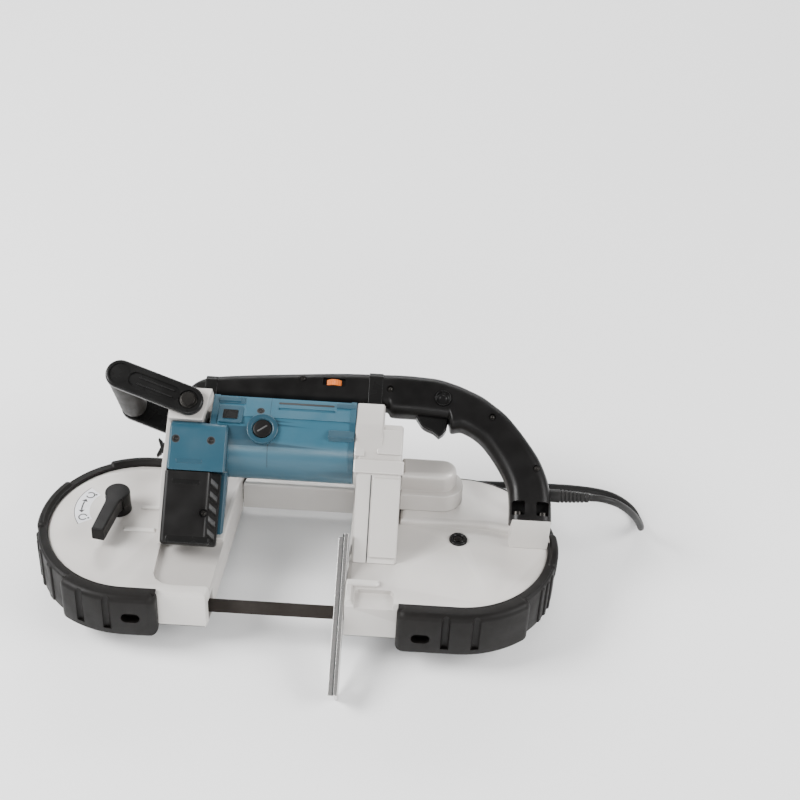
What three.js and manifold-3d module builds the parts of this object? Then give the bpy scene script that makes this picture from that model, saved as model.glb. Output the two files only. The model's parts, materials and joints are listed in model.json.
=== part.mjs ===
// Portable two-wheel band saw, millimetres, +Z up.
// The saw lies on its work stop and on the far edges of its two rubber bumpers,
// so the whole tool is tilted about X inside the row frame.
//
// Two frames are used inside the tool:
//   tool frame    X along the blade, Y across the wheels, Z along the wheel axles;
//                 Z = 0 is the lower edge of the casting, Z = TOP its upper face.
//   handle frame  (X, v, n): origin on the cutting run of the blade, v is the
//                 upward direction of the feed, n points to the operator side.
import * as THREE from 'three';
import { mergeVertices } from 'three/addons/utils/BufferGeometryUtils.js';
import Module from 'manifold-3d';

const wasm = await Module();
wasm.setup();

// ---------- driving dimensions ----------
const WX = 158;            // wheel centre distance from the middle
const WY = 10;             // wheel centre, across
const WR = 80.5;           // wheel radius
const BR = 81.05;          // radius of the blade's centre line round the wheels
const BT = 0.5, BW = 13;   // blade thickness and width
const BZ = 13;             // blade centre height
const BY = WY - BR;        // cutting run, across
const CY = 4, CR = 91;     // casting circle centre (across) and radius
const TOP = 42;            // casting upper face
const TXL = 51;            // throat wall, drive side
const BEV = 4;             // edge radius of the casting
const VM = 168;            // motor axis, along v
const MR = 38;             // motor housing radius
const IY = 62, IZ = 71.9;  // intermediate shaft
const VX = 139;            // vertical bevel shaft
const TILT = -8;           // resting tilt of the tool, degrees
const OX = 0.0, OY = -3.45, LIFT = 19.22;  // tool frame origin in the row frame
const CORD_D = 7;          // cord diameter
const SU = Math.sin(57 * Math.PI / 180), CU = Math.cos(57 * Math.PI / 180);

// ---------- colours ----------
const mat = (c, r, m) => new THREE.MeshStandardMaterial({ color: c, roughness: r, metalness: m });
const SILVER = mat(0xd9d5d0, 0.45, 0.3), BLUE = mat(0x2f6f8c, 0.45, 0), BLACK = mat(0x1d1c1b, 0.5, 0);
const RUBBER = mat(0x2a2624, 0.8, 0), STEEL = mat(0xa8a8a8, 0.35, 0.9), DARKSTEEL = mat(0x4a4643, 0.4, 0.9);
const ORANGE = mat(0xe8702a, 0.5, 0), COPPER = mat(0xb06a3a, 0.4, 0.8), BRASS = mat(0xb99a55, 0.4, 0.8);
const CARBON = mat(0x202020, 0.8, 0);

// ---------- helpers ----------
function solid(g) {
  const c = g.index ? g.clone() : g;
  for (const k of Object.keys(c.attributes)) if (k !== 'position') c.deleteAttribute(k);
  const m = mergeVertices(c, 1e-4);
  const p = m.attributes.position.array, ix = m.index.array, t = [];
  for (let i = 0; i < ix.length; i += 3) {
    const a = ix[i], b = ix[i + 1], d = ix[i + 2];
    if (a !== b && b !== d && a !== d) t.push(a, b, d);
  }
  return new wasm.Manifold(new wasm.Mesh({ numProp: 3, vertProperties: new Float32Array(p), triVerts: new Uint32Array(t) }));
}
const add = (...s) => s.slice(1).reduce((a, b) => a.add(b), s[0]);
const cut = (a, ...s) => s.reduce((x, b) => x.subtract(b), a);
function shape(pts, holes = []) {
  const s = new THREE.Shape(pts.map(p => new THREE.Vector2(p[0], p[1])));
  for (const h of holes) s.holes.push(new THREE.Path(h.map(p => new THREE.Vector2(p[0], p[1]))));
  return s;
}
function ext(pts, z0, z1, bev = 0, seg = 2, holes = []) {
  const o = bev ? { depth: z1 - z0 - 2 * bev, bevelEnabled: true, bevelThickness: bev, bevelSize: bev, bevelOffset: -bev, bevelSegments: seg }
    : { depth: z1 - z0, bevelEnabled: false };
  const g = new THREE.ExtrudeGeometry(shape(pts, holes), o);
  g.translate(0, 0, z0 + bev);
  return g;
}
const M4 = (ex, ey, ez, o) => new THREE.Matrix4().makeBasis(new THREE.Vector3(...ex), new THREE.Vector3(...ey), new THREE.Vector3(...ez)).setPosition(...o);
const HF = M4([1, 0, 0], [0, SU, CU], [0, -CU, SU], [0, BY, BZ]);
const AX = M4([0, 1, 0], [0, 0, 1], [1, 0, 0], [0, 0, 0]);      // (a, b, depth) -> (Y, Z, X)
const plan = (pts, z0, z1, bev, seg) => solid(ext(pts, z0, z1, bev, seg));
const planTop = (pts, z0, z1, b, seg = 2) => cut(solid(ext(pts, z0 - b - 1, z1, b, seg)), box(-400, 400, -300, 300, z0 - 30, z0));
const hpl = (pts, n0, n1, bev, seg) => solid(ext(pts, n0, n1, bev, seg).applyMatrix4(HF));
const sideX = (pts, x0, x1, bev, seg) => solid(ext(pts, x0, x1, bev, seg).applyMatrix4(AX));
const hv = (n, v) => [BY + SU * v - CU * n, BZ + CU * v + SU * n];
const sideH = (pts, x0, x1, bev, seg) => sideX(pts.map(p => hv(p[0], p[1])), x0, x1, bev, seg);
function box(x0, x1, y0, y1, z0, z1) {
  return solid(new THREE.BoxGeometry(x1 - x0, y1 - y0, z1 - z0).translate((x0 + x1) / 2, (y0 + y1) / 2, (z0 + z1) / 2));
}
const hbox = (x0, x1, v0, v1, n0, n1) => solid(new THREE.BoxGeometry(x1 - x0, v1 - v0, n1 - n0)
  .translate((x0 + x1) / 2, (v0 + v1) / 2, (n0 + n1) / 2).applyMatrix4(HF));
function cyl(r0, r1, l0, l1, seg) {            // along +Z, r0 at l0 and r1 at l1
  return new THREE.CylinderGeometry(r1, r0, l1 - l0, seg).rotateX(Math.PI / 2).translate(0, 0, (l0 + l1) / 2);
}
const cylZ = (x, y, r, z0, z1, seg = 24, r1 = r) => solid(cyl(r, r1, z0, z1, seg).translate(x, y, 0));
const cylX = (y, z, r, x0, x1, seg = 24, r1 = r) => solid(cyl(r, r1, x0, x1, seg).applyMatrix4(AX).translate(0, y, z));
const cylN = (X, v, r, n0, n1, seg = 24, r1 = r) => solid(cyl(r, r1, n0, n1, seg).translate(X, v, 0).applyMatrix4(HF));
const cylV = (X, n, r, v0, v1, seg = 20, r1 = r) => solid(cyl(r, r1, v0, v1, seg).rotateX(-Math.PI / 2).translate(X, 0, n).applyMatrix4(HF));
const arc = (cx, cy, r, a0, a1, n) => Array.from({ length: n + 1 }, (_, i) => {
  const a = (a0 + (a1 - a0) * i / n) * Math.PI / 180;
  return [cx + r * Math.cos(a), cy + r * Math.sin(a)];
});
function gearPts(z, m, phase = 0, ad = 0.85, de = 1.1) {
  const R = z * m / 2, p = [], st = 2 * Math.PI / z;
  for (let i = 0; i < z; i++) {
    const a = i * st + phase;
    for (const [r, f] of [[R - de * m, -0.30], [R + ad * m, -0.13], [R + ad * m, 0.13], [R - de * m, 0.30]])
      p.push([r * Math.cos(a + f * st), r * Math.sin(a + f * st)]);
  }
  return p;
}
const group = new THREE.Group();
const tool = new THREE.Group();
tool.rotation.x = TILT * Math.PI / 180;
tool.position.set(OX, OY, LIFT);
group.add(tool);
function put(name, s, material, parent = tool) {
  const q = s.getMesh();
  const g = new THREE.BufferGeometry();
  const n = q.numProp, src = q.vertProperties, pos = new Float32Array(src.length / n * 3);
  for (let i = 0; i < src.length / n; i++) for (let k = 0; k < 3; k++) pos[3 * i + k] = src[n * i + k];
  g.setAttribute('position', new THREE.BufferAttribute(pos, 3));
  g.setIndex(new THREE.BufferAttribute(new Uint32Array(q.triVerts), 1));
  g.computeVertexNormals();
  const mesh = new THREE.Mesh(g, material);
  mesh.name = name;
  parent.add(mesh);
  return mesh;
}

// ---------- casting outlines (plan) ----------
const leftOut = (o = 0, seg = 24) => [
  [-80.5 + o, -(CR - CY) - o], ...arc(-WX, CY, CR + o, 270, 90, seg), [-62 + o, CY + CR + o], [-66 + o, 76], [-78.6 + o, -78]];
const rightOut = (o = 0, seg = 24) => [
  [TXL - o, CY + CR + o], ...arc(WX, CY, CR + o, 90, -90, seg), [TXL - o, -(CR - CY) - o]];
const leftIn = [[-84.5, -84], ...arc(-WX, CY, 88, 270, 90, 22), [-60, 92], [-70, 70], [-73.4, 30], [-74, 10], [-76, -8], [-82.4, -72]];
const rightIn = [[TXL + 3, 92], ...arc(WX, CY, 88, 90, -90, 22), [TXL + 3, -84]];

let frame = add(
  planTop(leftOut(), 0, TOP, BEV, 2), planTop(rightOut(), 0, TOP, BEV, 2),
  planTop([[-72, 82], [58, 82], [58, 95], [-72, 95]], 3, 36, 3, 2));
// raised rear terrace of the drive side, and the post that carries the rear handle
const terrace = planTop([[99.5, 27], [187, 27], [215, 21], [244, 11.3], [262, 8], [262, 110], [99.5, 110]], 39, 50, 5, 3);
const post = sideX([[5, 39], hv(16.5, 98.6), hv(-16.5, 98.6), [40, 49], [46, 39]], 208, 246);
const envelope = planTop(rightOut(), 0, 90, 3, 2);
frame = add(frame, terrace.intersect(planTop(rightOut(), 0, 50, 4, 3)), post.intersect(envelope));
// L-shaped rib beside the drive-side guide
frame = add(frame,
  planTop([[TXL, -64], [80, -64], [83, -61], [83, -56], [TXL, -56]], 40, 46, 1.5, 1),
  planTop([[TXL, -86], [58, -86], [58, -58], [TXL, -58]], 40, 45, 1.5, 1));
// ribs that run from the tension lever to the motor bracket
frame = add(frame,
  planTop([[-160, 27], [-141, 27], [-141, 31], [-160, 31]], 40, 44.5, 1, 1),
  planTop([[-172, -6], [-141, -6], [-141, -1], [-172, -1]], 40, 44, 1, 1));
// scoop under the motor end cover, recess beside the drive-side guide
frame = cut(frame,
  plan([[-133, -8], [-133, -62], [-130, -69], [-124, -73], [-116, -75], [-60, -75], [-60, -8]], 36, 60),
  plan([[60, -100], [60, -68], [63, -66], [94, -66], [97, -69], [97, -100]], 37, 60));
frame = cut(frame,
  cut(plan(leftIn, -5, 38), box(-137, -50, -79, -4, 33, 39)),
  cut(plan(rightIn, -5, 38), box(56, 101, -90, -62, 33, 39)),
  box(-80, 60, 85, 92, -5, 32));
// blade slots in the throat walls and in the inner channel
frame = cut(frame, box(-92, -60, -80, -61, 2, 27), box(45, 60, -80, -61, 2, 27),
  box(-90, -55, 86, 92, -5, 30), box(45, 60, 86, 92, -5, 30));
// bosses for the wheel guard screws
const bosses = [[-85, 70], [-112, -79.6], [64, 70], [114, -79.6]];
for (const [x, y] of bosses) frame = cut(add(frame, cylZ(x, y, 4.2, 0, 39, 12)), cylZ(x, y, 2.1, -1, 20, 8));
// shaft bores, gear windows and bearing seats in the upper wall
frame = cut(frame, cylZ(-182, 25, 6.5, 30, 60, 24), cylZ(WX, WY, 8.3, 30, 60, 24), cylZ(VX, IY, 15.4, 30, 60, 24),
  cylV(213.5, 9.5, 2.9, 84, 110, 12), cylV(237.4, 9.5, 2.9, 84, 110, 12));
put('main_frame', frame, SILVER);

// ---------- rubber bumpers ----------
function bumper(outer, wall, lip) {
  return cut(planTop(outer, -5, 44.5, 2, 1), plan(wall, -6, 42.3), plan(lip, 42, 50));
}
const lbOut = [[-126, -80], [-126, -95], [-132, -101], ...arc(-WX, CY, 105, 270, 234, 8), ...arc(-WX, CY, 98.5, 231, 124, 20),
  ...arc(-WX, CY, 98.5, 120, 90, 7), [-137, CY + 98.5], [-137, 80], ...arc(-WX, CY, 80, 90, 270, 24)];
put('left_bumper', bumper(lbOut, leftOut(0.3), leftOut(-3)), RUBBER);
const rbOut = [[101, -80], [101, -92], [108, -101], ...arc(WX, CY, 105, -90, -46, 9), ...arc(WX, CY, 98.5, -43, 88, 26), [150, CY + 98.5],
  [150, 80], ...arc(WX, CY, 80, 90, -90, 24)];
put('right_bumper', cut(bumper(rbOut, rightOut(0.3), rightOut(-3)), plan(rightOut(0.3), 42, 60).intersect(box(90, 300, 4, 120, 41, 61))), RUBBER);

// ---------- wheel guards underneath, with their screws ----------
const gl = [[-82, -85], ...arc(-WX, CY, 89, 270, 90, 24), [-68, 93], [-80, -70]];
const gr = [[TXL + 1, 93], ...arc(WX, CY, 89, 90, -90, 24), [TXL + 1, -85]];
const stopSlot = box(40, 66, -100, -60, -10, 10);
put('idler_wheel_guard', cut(planNeg(gl), cylZ(-85, 70, 2.3, -9, 3, 12), cylZ(-112, -79.6, 2.3, -9, 3, 12)), BLACK);
put('drive_wheel_guard', cut(planNeg(gr), cylZ(64, 70, 2.3, -9, 3, 12), cylZ(114, -79.6, 2.3, -9, 3, 12)), BLACK);
function planNeg(p) { return plan(p, -2.8, -0.3); }
[bosses[0], bosses[2]].forEach(([x, y], i) => put(['idler', 'drive'][i] + '_guard_screw', add(cylZ(x, y, 4, -4.6, -3.1, 12), cylZ(x, y, 1.8, -3.2, 14, 10)), STEEL));

// ---------- blade: one closed steel band, twisted in the throat ----------
{
  const NS = 132, straight = 2 * WX, circ = Math.PI * BR, total = 2 * straight + 2 * circ;
  const st = [];
  const tw = x => { const a = Math.min(1, Math.max(0, (Math.abs(x) < 70 ? 1 : (150 - Math.abs(x)) / 70))); return 57 * (a * a * (3 - 2 * a)) * Math.PI / 180; };
  for (let i = 0; i <= 36; i++) { const x = -WX + straight * i / 36; st.push([x, BY, 0, -1, tw(x)]); }
  for (let i = 1; i < 26; i++) { const a = -Math.PI / 2 + Math.PI * i / 26; st.push([WX + BR * Math.cos(a), WY + BR * Math.sin(a), Math.cos(a), Math.sin(a), 0]); }
  for (let i = 0; i <= 2; i++) st.push([WX - straight * i / 2, WY + BR, 0, 1, 0]);
  for (let i = 1; i < 26; i++) { const a = Math.PI / 2 + Math.PI * i / 26; st.push([-WX + BR * Math.cos(a), WY + BR * Math.sin(a), Math.cos(a), Math.sin(a), 0]); }
  const n = st.length;
  const g = new THREE.TorusGeometry(10, 2, 4, n);
  const P = g.attributes.position;
  for (let i = 0; i < P.count; i++) {
    const j = Math.floor(i / (n + 1)) % 4, k = (i % (n + 1)) % n;
    const [x, y, nx, ny, t] = st[k];
    const sw = (j === 0 || j === 3) ? 1 : -1, sh = (j < 2) ? 1 : -1;
    // outward normal (nx, ny, 0) and width direction (0, 0, 1), both turned about the run
    const a = sw * BT / 2, b = sh * BW / 2;
    const oy = ny * (a * Math.cos(t)) - b * Math.sin(t) * ny * -1 * -1, oz = b * Math.cos(t) - a * Math.sin(t) * (ny < 0 ? -1 : 1) * -1;
    P.setXYZ(i, x + nx * a, y + (t ? (-a * Math.cos(t) + b * Math.sin(t)) : ny * a), BZ + (t ? (a * Math.sin(t) + b * Math.cos(t)) : b));
  }
  let s = solid(g);
  if (s.volume() < 0) {
    const ix = g.index.array; for (let i = 0; i < ix.length; i += 3) { const q = ix[i]; ix[i] = ix[i + 1]; ix[i + 1] = q; }
    s = solid(g);
  }
  put('blade', s, DARKSTEEL);
}

// ---------- wheels, axle, bearing, tensioner ----------
function wheel(cx, bore) {
  const pr = [[bore, 5], [79, 5], [79, 21], [71, 21], [71, 11], [18, 11], [18, 22], [bore, 22]];
  let s = latheSolid([...pr, pr[0]], 40).translate([cx, WY, 0]);
  for (let i = 0; i < 5; i++) { const a = i * 0.4 * Math.PI; s = cut(s, cylZ(cx + 43 * Math.cos(a), WY + 43 * Math.sin(a), 13, 0, 30, 10)); }
  return s;
}
function latheSolid(p, seg) {                 // profile (radius, height) turned about +Z
  const g = new THREE.LatheGeometry(p.map(q => new THREE.Vector2(q[0], q[1])), seg).rotateX(Math.PI / 2);
  let s = solid(g);
  if (s.volume() < 0 || s.status() !== 'NoError' && s.isEmpty()) {
    const ix = g.index.array; for (let i = 0; i < ix.length; i += 3) { const q = ix[i]; ix[i] = ix[i + 1]; ix[i + 1] = q; }
    s = solid(g);
  }
  return s;
}
const tyre = cx => latheSolid([[79.3, 5.4], [WR, 5.4], [WR, 20.6], [79.3, 20.6], [79.3, 5.4]], 40).translate([cx, WY, 0]);
put('drive_wheel', wheel(WX, 7.3), STEEL);
put('drive_tyre', tyre(WX), RUBBER);
put('idler_wheel', wheel(-WX, 11.3), STEEL);
put('idler_tyre', tyre(-WX), RUBBER);
put('idler_bearing', latheSolid([[6.3, 7], [11, 7], [11, 20], [6.3, 20], [6.3, 7]], 24).translate([-WX, WY, 0]), STEEL);
put('idler_axle', add(cylZ(-WX, WY, 6, 3, 29, 24), cylZ(-WX, WY, 9, 2, 4.6, 24)), DARKSTEEL);
put('tension_slide', cut(box(-196, -112, -4, 24, 23.5, 30), cylZ(-WX, WY, 6.3, 20, 32, 24)), STEEL);
put('tension_lever', add(
  cylZ(-182, 25, 9, 30.4, 36.5, 24), cylZ(-182, 25, 6, 30.4, 43, 24), cylZ(-182, 25, 12.5, 42.4, 66, 28, 12),
  hull2(-182, 25, 11, -190.5, -26, 6.4, 52, 66)), BLACK);
function hull2(x0, y0, r0, x1, y1, r1, z0, z1) {   // tapered arm with round ends, in plan
  const d = Math.atan2(y1 - y0, x1 - x0) * 180 / Math.PI, L = Math.hypot(x1 - x0, y1 - y0), k = Math.asin((r0 - r1) / L) * 180 / Math.PI;
  const p = [...arc(x0, y0, r0, d + 90 - k, d + 270 + k, 12), ...arc(x1, y1, r1, d - 90 + k, d + 90 - k, 8)];
  return planTop(p, z0, z1, 1.5, 1);
}

// ---------- blade guides ----------
function guide(cx, tag) {
  put(tag + '_guide_block', cut(hbox(cx - 6, cx + 6, 7.9, 22, -8.5, 8.5), hbox(cx - 8, cx + 8, 0, 19.4, -4.3, 4.3)), DARKSTEEL);
  put(tag + '_guide_roller_front', cylV(cx, 5.75, 5, -7, 6.3, 16), STEEL);
  put(tag + '_guide_roller_rear', cylV(cx, -5.75, 5, -7, 6.3, 16), STEEL);
  put(tag + '_back_roller', cylN(cx, 12.9, 6, -3.9, 3.9, 16), STEEL);
}
guide(-90.5, 'left');
guide(61, 'right');

// ---------- work stop ----------
const stop = cut(add(hpl([[47, -82.15], [50.3, -82.15], [50.3, 74], [47, 74]], -8, 20), hpl([[41, -82.15], [50.3, -82.15], [50.3, 70], [41, 70]], 17.5, 20)),
  hpl([[40, -68], [60, -68], [60, 62], [40, 62]], -2.4, 2.4));
put('work_stop', stop, STEEL);

// ---------- gear housing ----------
const armP = [[-31, 42.3], [18.5, 113], hv(36, 181), hv(-28, 181), [102, 95], [97, 42.3]];
let gh = add(
  sideX(armP, 54, 97.5, 2, 1),
  sideH([...arc(0, VM, MR + 1.5, 20, -200, 26), [-30, 205], [26, 205]], 50.3, 78, 1.5, 1));
const ghIn = [[-2, 46], [24, 96], hv(30, 174), hv(-22, 174), [93, 92], [93, 46]];
const [MY, MZ] = hv(0, VM);
gh = cut(gh, sideX(ghIn, 58, 92), cylX(MY, MZ, 26, 54, 60, 32), cylX(MY, MZ, 13, 59, 76, 20), cylX(MY, MZ, 11.3, 45, 60, 24), cylX(IY, IZ, 9, 80, 100, 24));
put('gear_housing', gh, SILVER);

// ---------- bevel gear case ----------
const sta = (r, x0) => [[x0, IY - r], ...arc(VX, IY, r, -90, 90, 14), [x0, IY + r]];
let gc = add(planTop(sta(21.5, 98), 50.3, 70.5, 2, 2), planTop(sta(14, 98), 66, 91, 6, 3));
gc = cut(gc, plan([[100.5, IY - 11], ...arc(VX, IY, 11, -90, 90, 12), [100.5, IY + 11]], 66, 86), plan(sta(18, 100.5), 49, 68.9), cylX(IY, IZ, 8, 90, 104, 20));
put('bevel_gear_case', gc, SILVER);

// ---------- motor bracket on the idler side ----------
const brP = [[-21, 42.3], [25, 105], hv(22, 150), hv(22, 204.5), hv(-34, 204.5), [112, 95], [97, 42.3]];
let br = add(sideX(brP, -136, -131.3), sideH([[8, 204.5], [8, 128], [-34, 128], [-34, 204.5]], -131.5, -96, 1, 1),
  hpl([[-131.5, 172], [-99, 172], [-92, 204.5], [-131.5, 204.5]], 0, 44));
br = cut(br, cylX(MY, MZ, 9.5, -104, -90, 24));
br = add(br, sideH([[30, 204.5], [30, 186], [8, 186], [8, 204.5]], -100, -92));
br = cut(br, cylN(-112.9, 188.6, 3.2, 25, 60, 12), cylN(-112.9, 188.6, 3.2, -60, -20, 12), cylX(...hv(-4, 155.5), 3.2, -140, -120, 12));
put('motor_bracket', br, SILVER);

// ---------- motor ----------
const flat = [[-30, 204.5], [26, 204.5], [36.5, 181]];
let mh = sideH([...arc(0, VM, MR, 20, -200, 24), ...flat], -91.5, 50, 0);
mh = add(mh, cylN(-40.2, VM, 15, 0, 40, 28), cylN(-40.2, VM, 15, -40, 0, 28));
mh = cut(mh, cylX(MY, MZ, 34, -80, 60, 28), cylX(MY, MZ, 8, -99, -70, 20),
  cylN(-40.2, VM, 9.8, 20, 60, 24), cylN(-40.2, VM, 9.8, -60, -20, 24),
  hpl([[-27, 190.8], [29, 190.8], [29, 193.6], [-27, 193.6]], 30, 40), hbox(-82, -62, 174, 181, 30, 60));
put('motor_housing', mh, BLUE);
put('brush_cap_front', cylN(-40.2, VM, 9.4, 35, 41, 24), BLACK);
put('brush_cap_rear', cylN(-40.2, VM, 9.4, -41, -35, 24), BLACK);
put('carbon_brush_front', hbox(-44, -36.4, VM - 3, VM + 3, 12.4, 34.6), CARBON);
put('carbon_brush_rear', hbox(-44, -36.4, VM - 3, VM + 3, -34.6, -12.4), CARBON);
const ring = (r0, r1, x0, x1, y, z, seg) => cut(cylX(y, z, r1, x0, x1, seg), cylX(y, z, r0, x0 - 1, x1 + 1, seg));
put('field_core', ring(22, 33.5, -24, 26, MY, MZ, 32), DARKSTEEL);
put('fan', (() => { let f = cylX(MY, MZ, 12, 31, 43, 20); for (let i = 0; i < 9; i++) { const a = i * 40 * Math.PI / 180; f = add(f, solid(new THREE.BoxGeometry(8, 22, 1.6).translate(38, 20, 0).rotateX(a).translate(0, MY, MZ))); } return cut(add(f, cylX(MY, MZ, 31.5, 41, 43, 32)), cylX(MY, MZ, 4.9, 20, 50, 16)); })(), BLACK);
const AL1 = Math.atan2(IZ - MZ, IY - MY), AL2 = Math.atan2(WY - IY, WX - VX);
const pin1 = solid(ext(gearPts(17, 1.2, AL1), 62, 72).applyMatrix4(AX)).translate([0, MY, MZ]);
put('armature', add(cylX(MY, MZ, 21, -24, 26, 28), cylX(MY, MZ, 12, -47, -33, 24), cylX(MY, MZ, 4.6, -98, 74, 16), pin1), COPPER);
put('armature_bearing_right', ring(4.9, 11, 51, 58, MY, MZ, 20), STEEL);

// ---------- reduction train ----------
const gear1 = solid(ext(gearPts(39, 1.2, AL1 + Math.PI + Math.PI / 39), 61, 73).applyMatrix4(AX)).translate([0, IY, IZ]);
const bevelPin = (() => {
  const g = ext(gearPts(12, 1.0, -Math.PI / 2, 0.15), 0, 7), P = g.attributes.position;
  for (let i = 0; i < P.count; i++) { const s = 1 - P.getZ(i) / 15; P.setXY(i, P.getX(i) * s, P.getY(i) * s); }
  return solid(g.applyMatrix4(AX)).translate([VX - 14.6, IY, IZ]);
})();
put('intermediate_shaft', add(cylX(IY, IZ, 4.6, 59, VX - 14.5, 16), gear1, bevelPin), STEEL);
const bevelGear = (() => {
  const g = ext(gearPts(30, 1.0, Math.PI + Math.PI / 30), 0, 2.7), P = g.attributes.position;
  for (let i = 0; i < P.count; i++) { const s = 1 - P.getZ(i) / 6; P.setXY(i, P.getX(i) * s, P.getY(i) * s); }
  return solid(g).translate([VX, IY, IZ - 6]);
})();
put('bevel_gear_shaft', add(cylZ(VX, IY, 13.2, 60, IZ - 5.9, 28), bevelGear, cylZ(VX, IY, 4.5, 22.5, 62, 16), solid(ext(gearPts(12, 2, AL2), 23.5, 33)).translate([VX, IY, 0])), STEEL);
put('drive_gear', cut(solid(ext(gearPts(43, 2, AL2 + Math.PI + Math.PI / 43), 24, 32)).translate([WX, WY, 0]), cylZ(WX, WY, 7.3, 20, 40, 24)), STEEL);
put('drive_shaft', add(cylZ(WX, WY, 7, 3.4, 37.5, 24), cylZ(WX, WY, 4.4, 37, 42.6, 18)), DARKSTEEL);
put('shaft_seal', latheSolid([[4.8, 38.5], [8, 38.5], [8, 42.4], [9, 42.4], [9, 43.6], [4.8, 43.6], [4.8, 38.5]], 28).translate([WX, WY, 0]), RUBBER);

// ---------- motor end cover and its vented lower cover ----------
const A = [42, 138.5], B = [-40, 61], U = [-0.7264, -0.6873], N = [0.6873, -0.7264];
const on = (t, d) => [A[0] + U[0] * t + N[0] * d, A[1] + U[1] * t + N[1] * d];
const len = 112.8, keep = cylX(MY, MZ, MR + 0.5, -95, -60, 36);
let ec = sideX([on(2, 0), on(-4, 3), on(-8, 9), on(-9, 16), on(-6, 40), on(30, 44), on(92, 30), on(100, 26), on(100, 22), on(41, 22), on(41, 0)], -129.5, -73, 2, 1);
ec = cut(ec, sideX([on(60, 6), on(60, 20), on(95, 20), on(95, 6)], -125, -79), keep,
  hbox(-140, -91, 90, 260, -70, 8.4), hbox(-140, -91, 171.6, 260, -70, 70), hbox(-92, -60, 176, 260, -70, 38.5));
put('end_cover', ec, BLUE);
let vc = sideX([on(41.4, 0.5), on(105, 0.5), on(111, 3), on(113, 9), on(111, 21.7), on(41.4, 21.7)], -131, -78, 2, 1);
vc = cut(vc, sideX([on(45, 4), on(104, 4), on(107, 9), on(107, 26), on(45, 26)], -127.5, -81.5));
for (let i = 0; i < 4; i++) vc = cut(vc, sideX([on(56 + 12 * i, 7), on(61 + 12 * i, 7), on(66 + 12 * i, 17), on(61 + 12 * i, 17)], -85, -74));
put('vent_cover', vc, BLACK);

// ---------- D-handle: two shells split on the mid plane ----------
const hOut = [[-119.5, 211.3], [-117.9, 216], [-111.7, 222], [-102.9, 227.1], [-91.8, 230], [-68.4, 232.8], [-7.2, 238.2], [30.4, 241.1], [59.1, 242.2],
  [93.1, 243.2], [127.4, 241.6], [150.7, 235.6], [174.4, 225.4], [198.4, 208.2], [218.5, 184.9], [233.8, 162.3], [242.2, 141.9], [245.8, 123.3], [247.1, 99]];
const hIn = [[205.8, 99], [205.7, 120.8], [204.1, 132.4], [198.5, 146.2], [190.6, 159.6], [178, 176.4], [165.9, 186.2], [154.1, 191.3], [144.5, 189],
  [141.5, 199.9], [109.8, 202.2], [103, 202.2], [83.7, 202.1], [80, 208], [32.7, 206], [-101.3, 205.6], [-114, 206.5]];
const pocket = add(hbox(108, 144, 180, 238, -8.6, 8.6),
  cylX(...hv(0, 129.5), 6.8, 226, 260, 20),
  hbox(206.9, 220.1, 103.5, 118, 2.5, 20), hbox(230.8, 244, 103.5, 118, 2.5, 20),
  cylV(213.5, 9.5, 2.9, 90, 110, 12), cylV(237.4, 9.5, 2.9, 90, 110, 12));
const dialPocket = add(cylV(25.1, 9.3, 9.2, 218.6, 227, 24), hbox(12.5, 37.7, 218.6, 227, 14.5, 20));
put('handle_shell_front', cut(hpl([...hOut, ...hIn], -10, 17, 5, 2), hbox(-200, 300, 50, 300, -20, 0.15), pocket, dialPocket, cylN(134.8, 218.4, 7.4, 9.8, 30, 24)), BLACK);
put('handle_shell_rear', cut(hpl([...hOut, ...hIn], -17, 10, 5, 2), hbox(-200, 300, 50, 300, -0.15, 20), pocket), BLACK);
put('handle_bolt_left', add(cylV(213.5, 9.5, 2.5, 86, 106, 12), cylV(213.5, 9.5, 4.6, 103.9, 108.5, 16)), DARKSTEEL);
put('handle_bolt_right', add(cylV(237.4, 9.5, 2.5, 86, 106, 12), cylV(237.4, 9.5, 4.6, 103.9, 108.5, 16)), DARKSTEEL);
put('trigger', hpl([[109, 215], [109, 200], [112, 196.5], [116, 191.5], [121.5, 188.6], [127, 186.5], [132.7, 181.8], [136.5, 184.5], [141, 190], [141.4, 200], [141.4, 215]], -6.5, 6.5, 1.5, 1), BLACK);
put('switch_body', hbox(110, 142, 223, 236.5, -8, 8), BLACK);
put('lock_button', cylN(134.8, 218.4, 7, 12.6, 18.6, 24), BLACK);
put('speed_dial', cylV(25.1, 9.3, 8.7, 219.2, 226.4, 24), ORANGE);

// ---------- front handle: two arms and a cross grip, turning on the bracket ----------
const stad = (R) => { const a = Math.atan2(211.4 - 188.6, -182 + 112.9) * 180 / Math.PI; return [...arc(-112.9, 188.6, R, a + 90, a + 270, 12).reverse().reverse(), ...arc(-182, 211.4, R, a + 270 - 360, a + 90, 12)]; };
const stadium = (() => { const a = Math.atan2(22.8, -69.1) * 180 / Math.PI; return [...arc(-182, 211.4, 14.5, a - 90, a + 90, 12), ...arc(-112.9, 188.6, 14.5, a + 90, a + 270, 12)]; })();
let fh = add(hpl(stadium, 47, 54, 1.5, 1), hpl(stadium, -54, -47, 1.5, 1), cylN(-182, 211.4, 13.6, -50, 50, 18));
fh = cut(fh, cylN(-112.9, 188.6, 4.6, 40, 60, 16), cylN(-112.9, 188.6, 4.6, -60, -40, 16));
put('front_handle', fh, BLACK);
put('handle_pivot_front', add(cylN(-112.9, 188.6, 4.3, 44.3, 54.6, 16), cylN(-112.9, 188.6, 2.9, 30, 45, 12), cylN(-112.9, 188.6, 6.5, 55.8, 57.6, 16), cylN(-112.9, 188.6, 4.3, 54, 56.4, 16)), DARKSTEEL);
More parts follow.
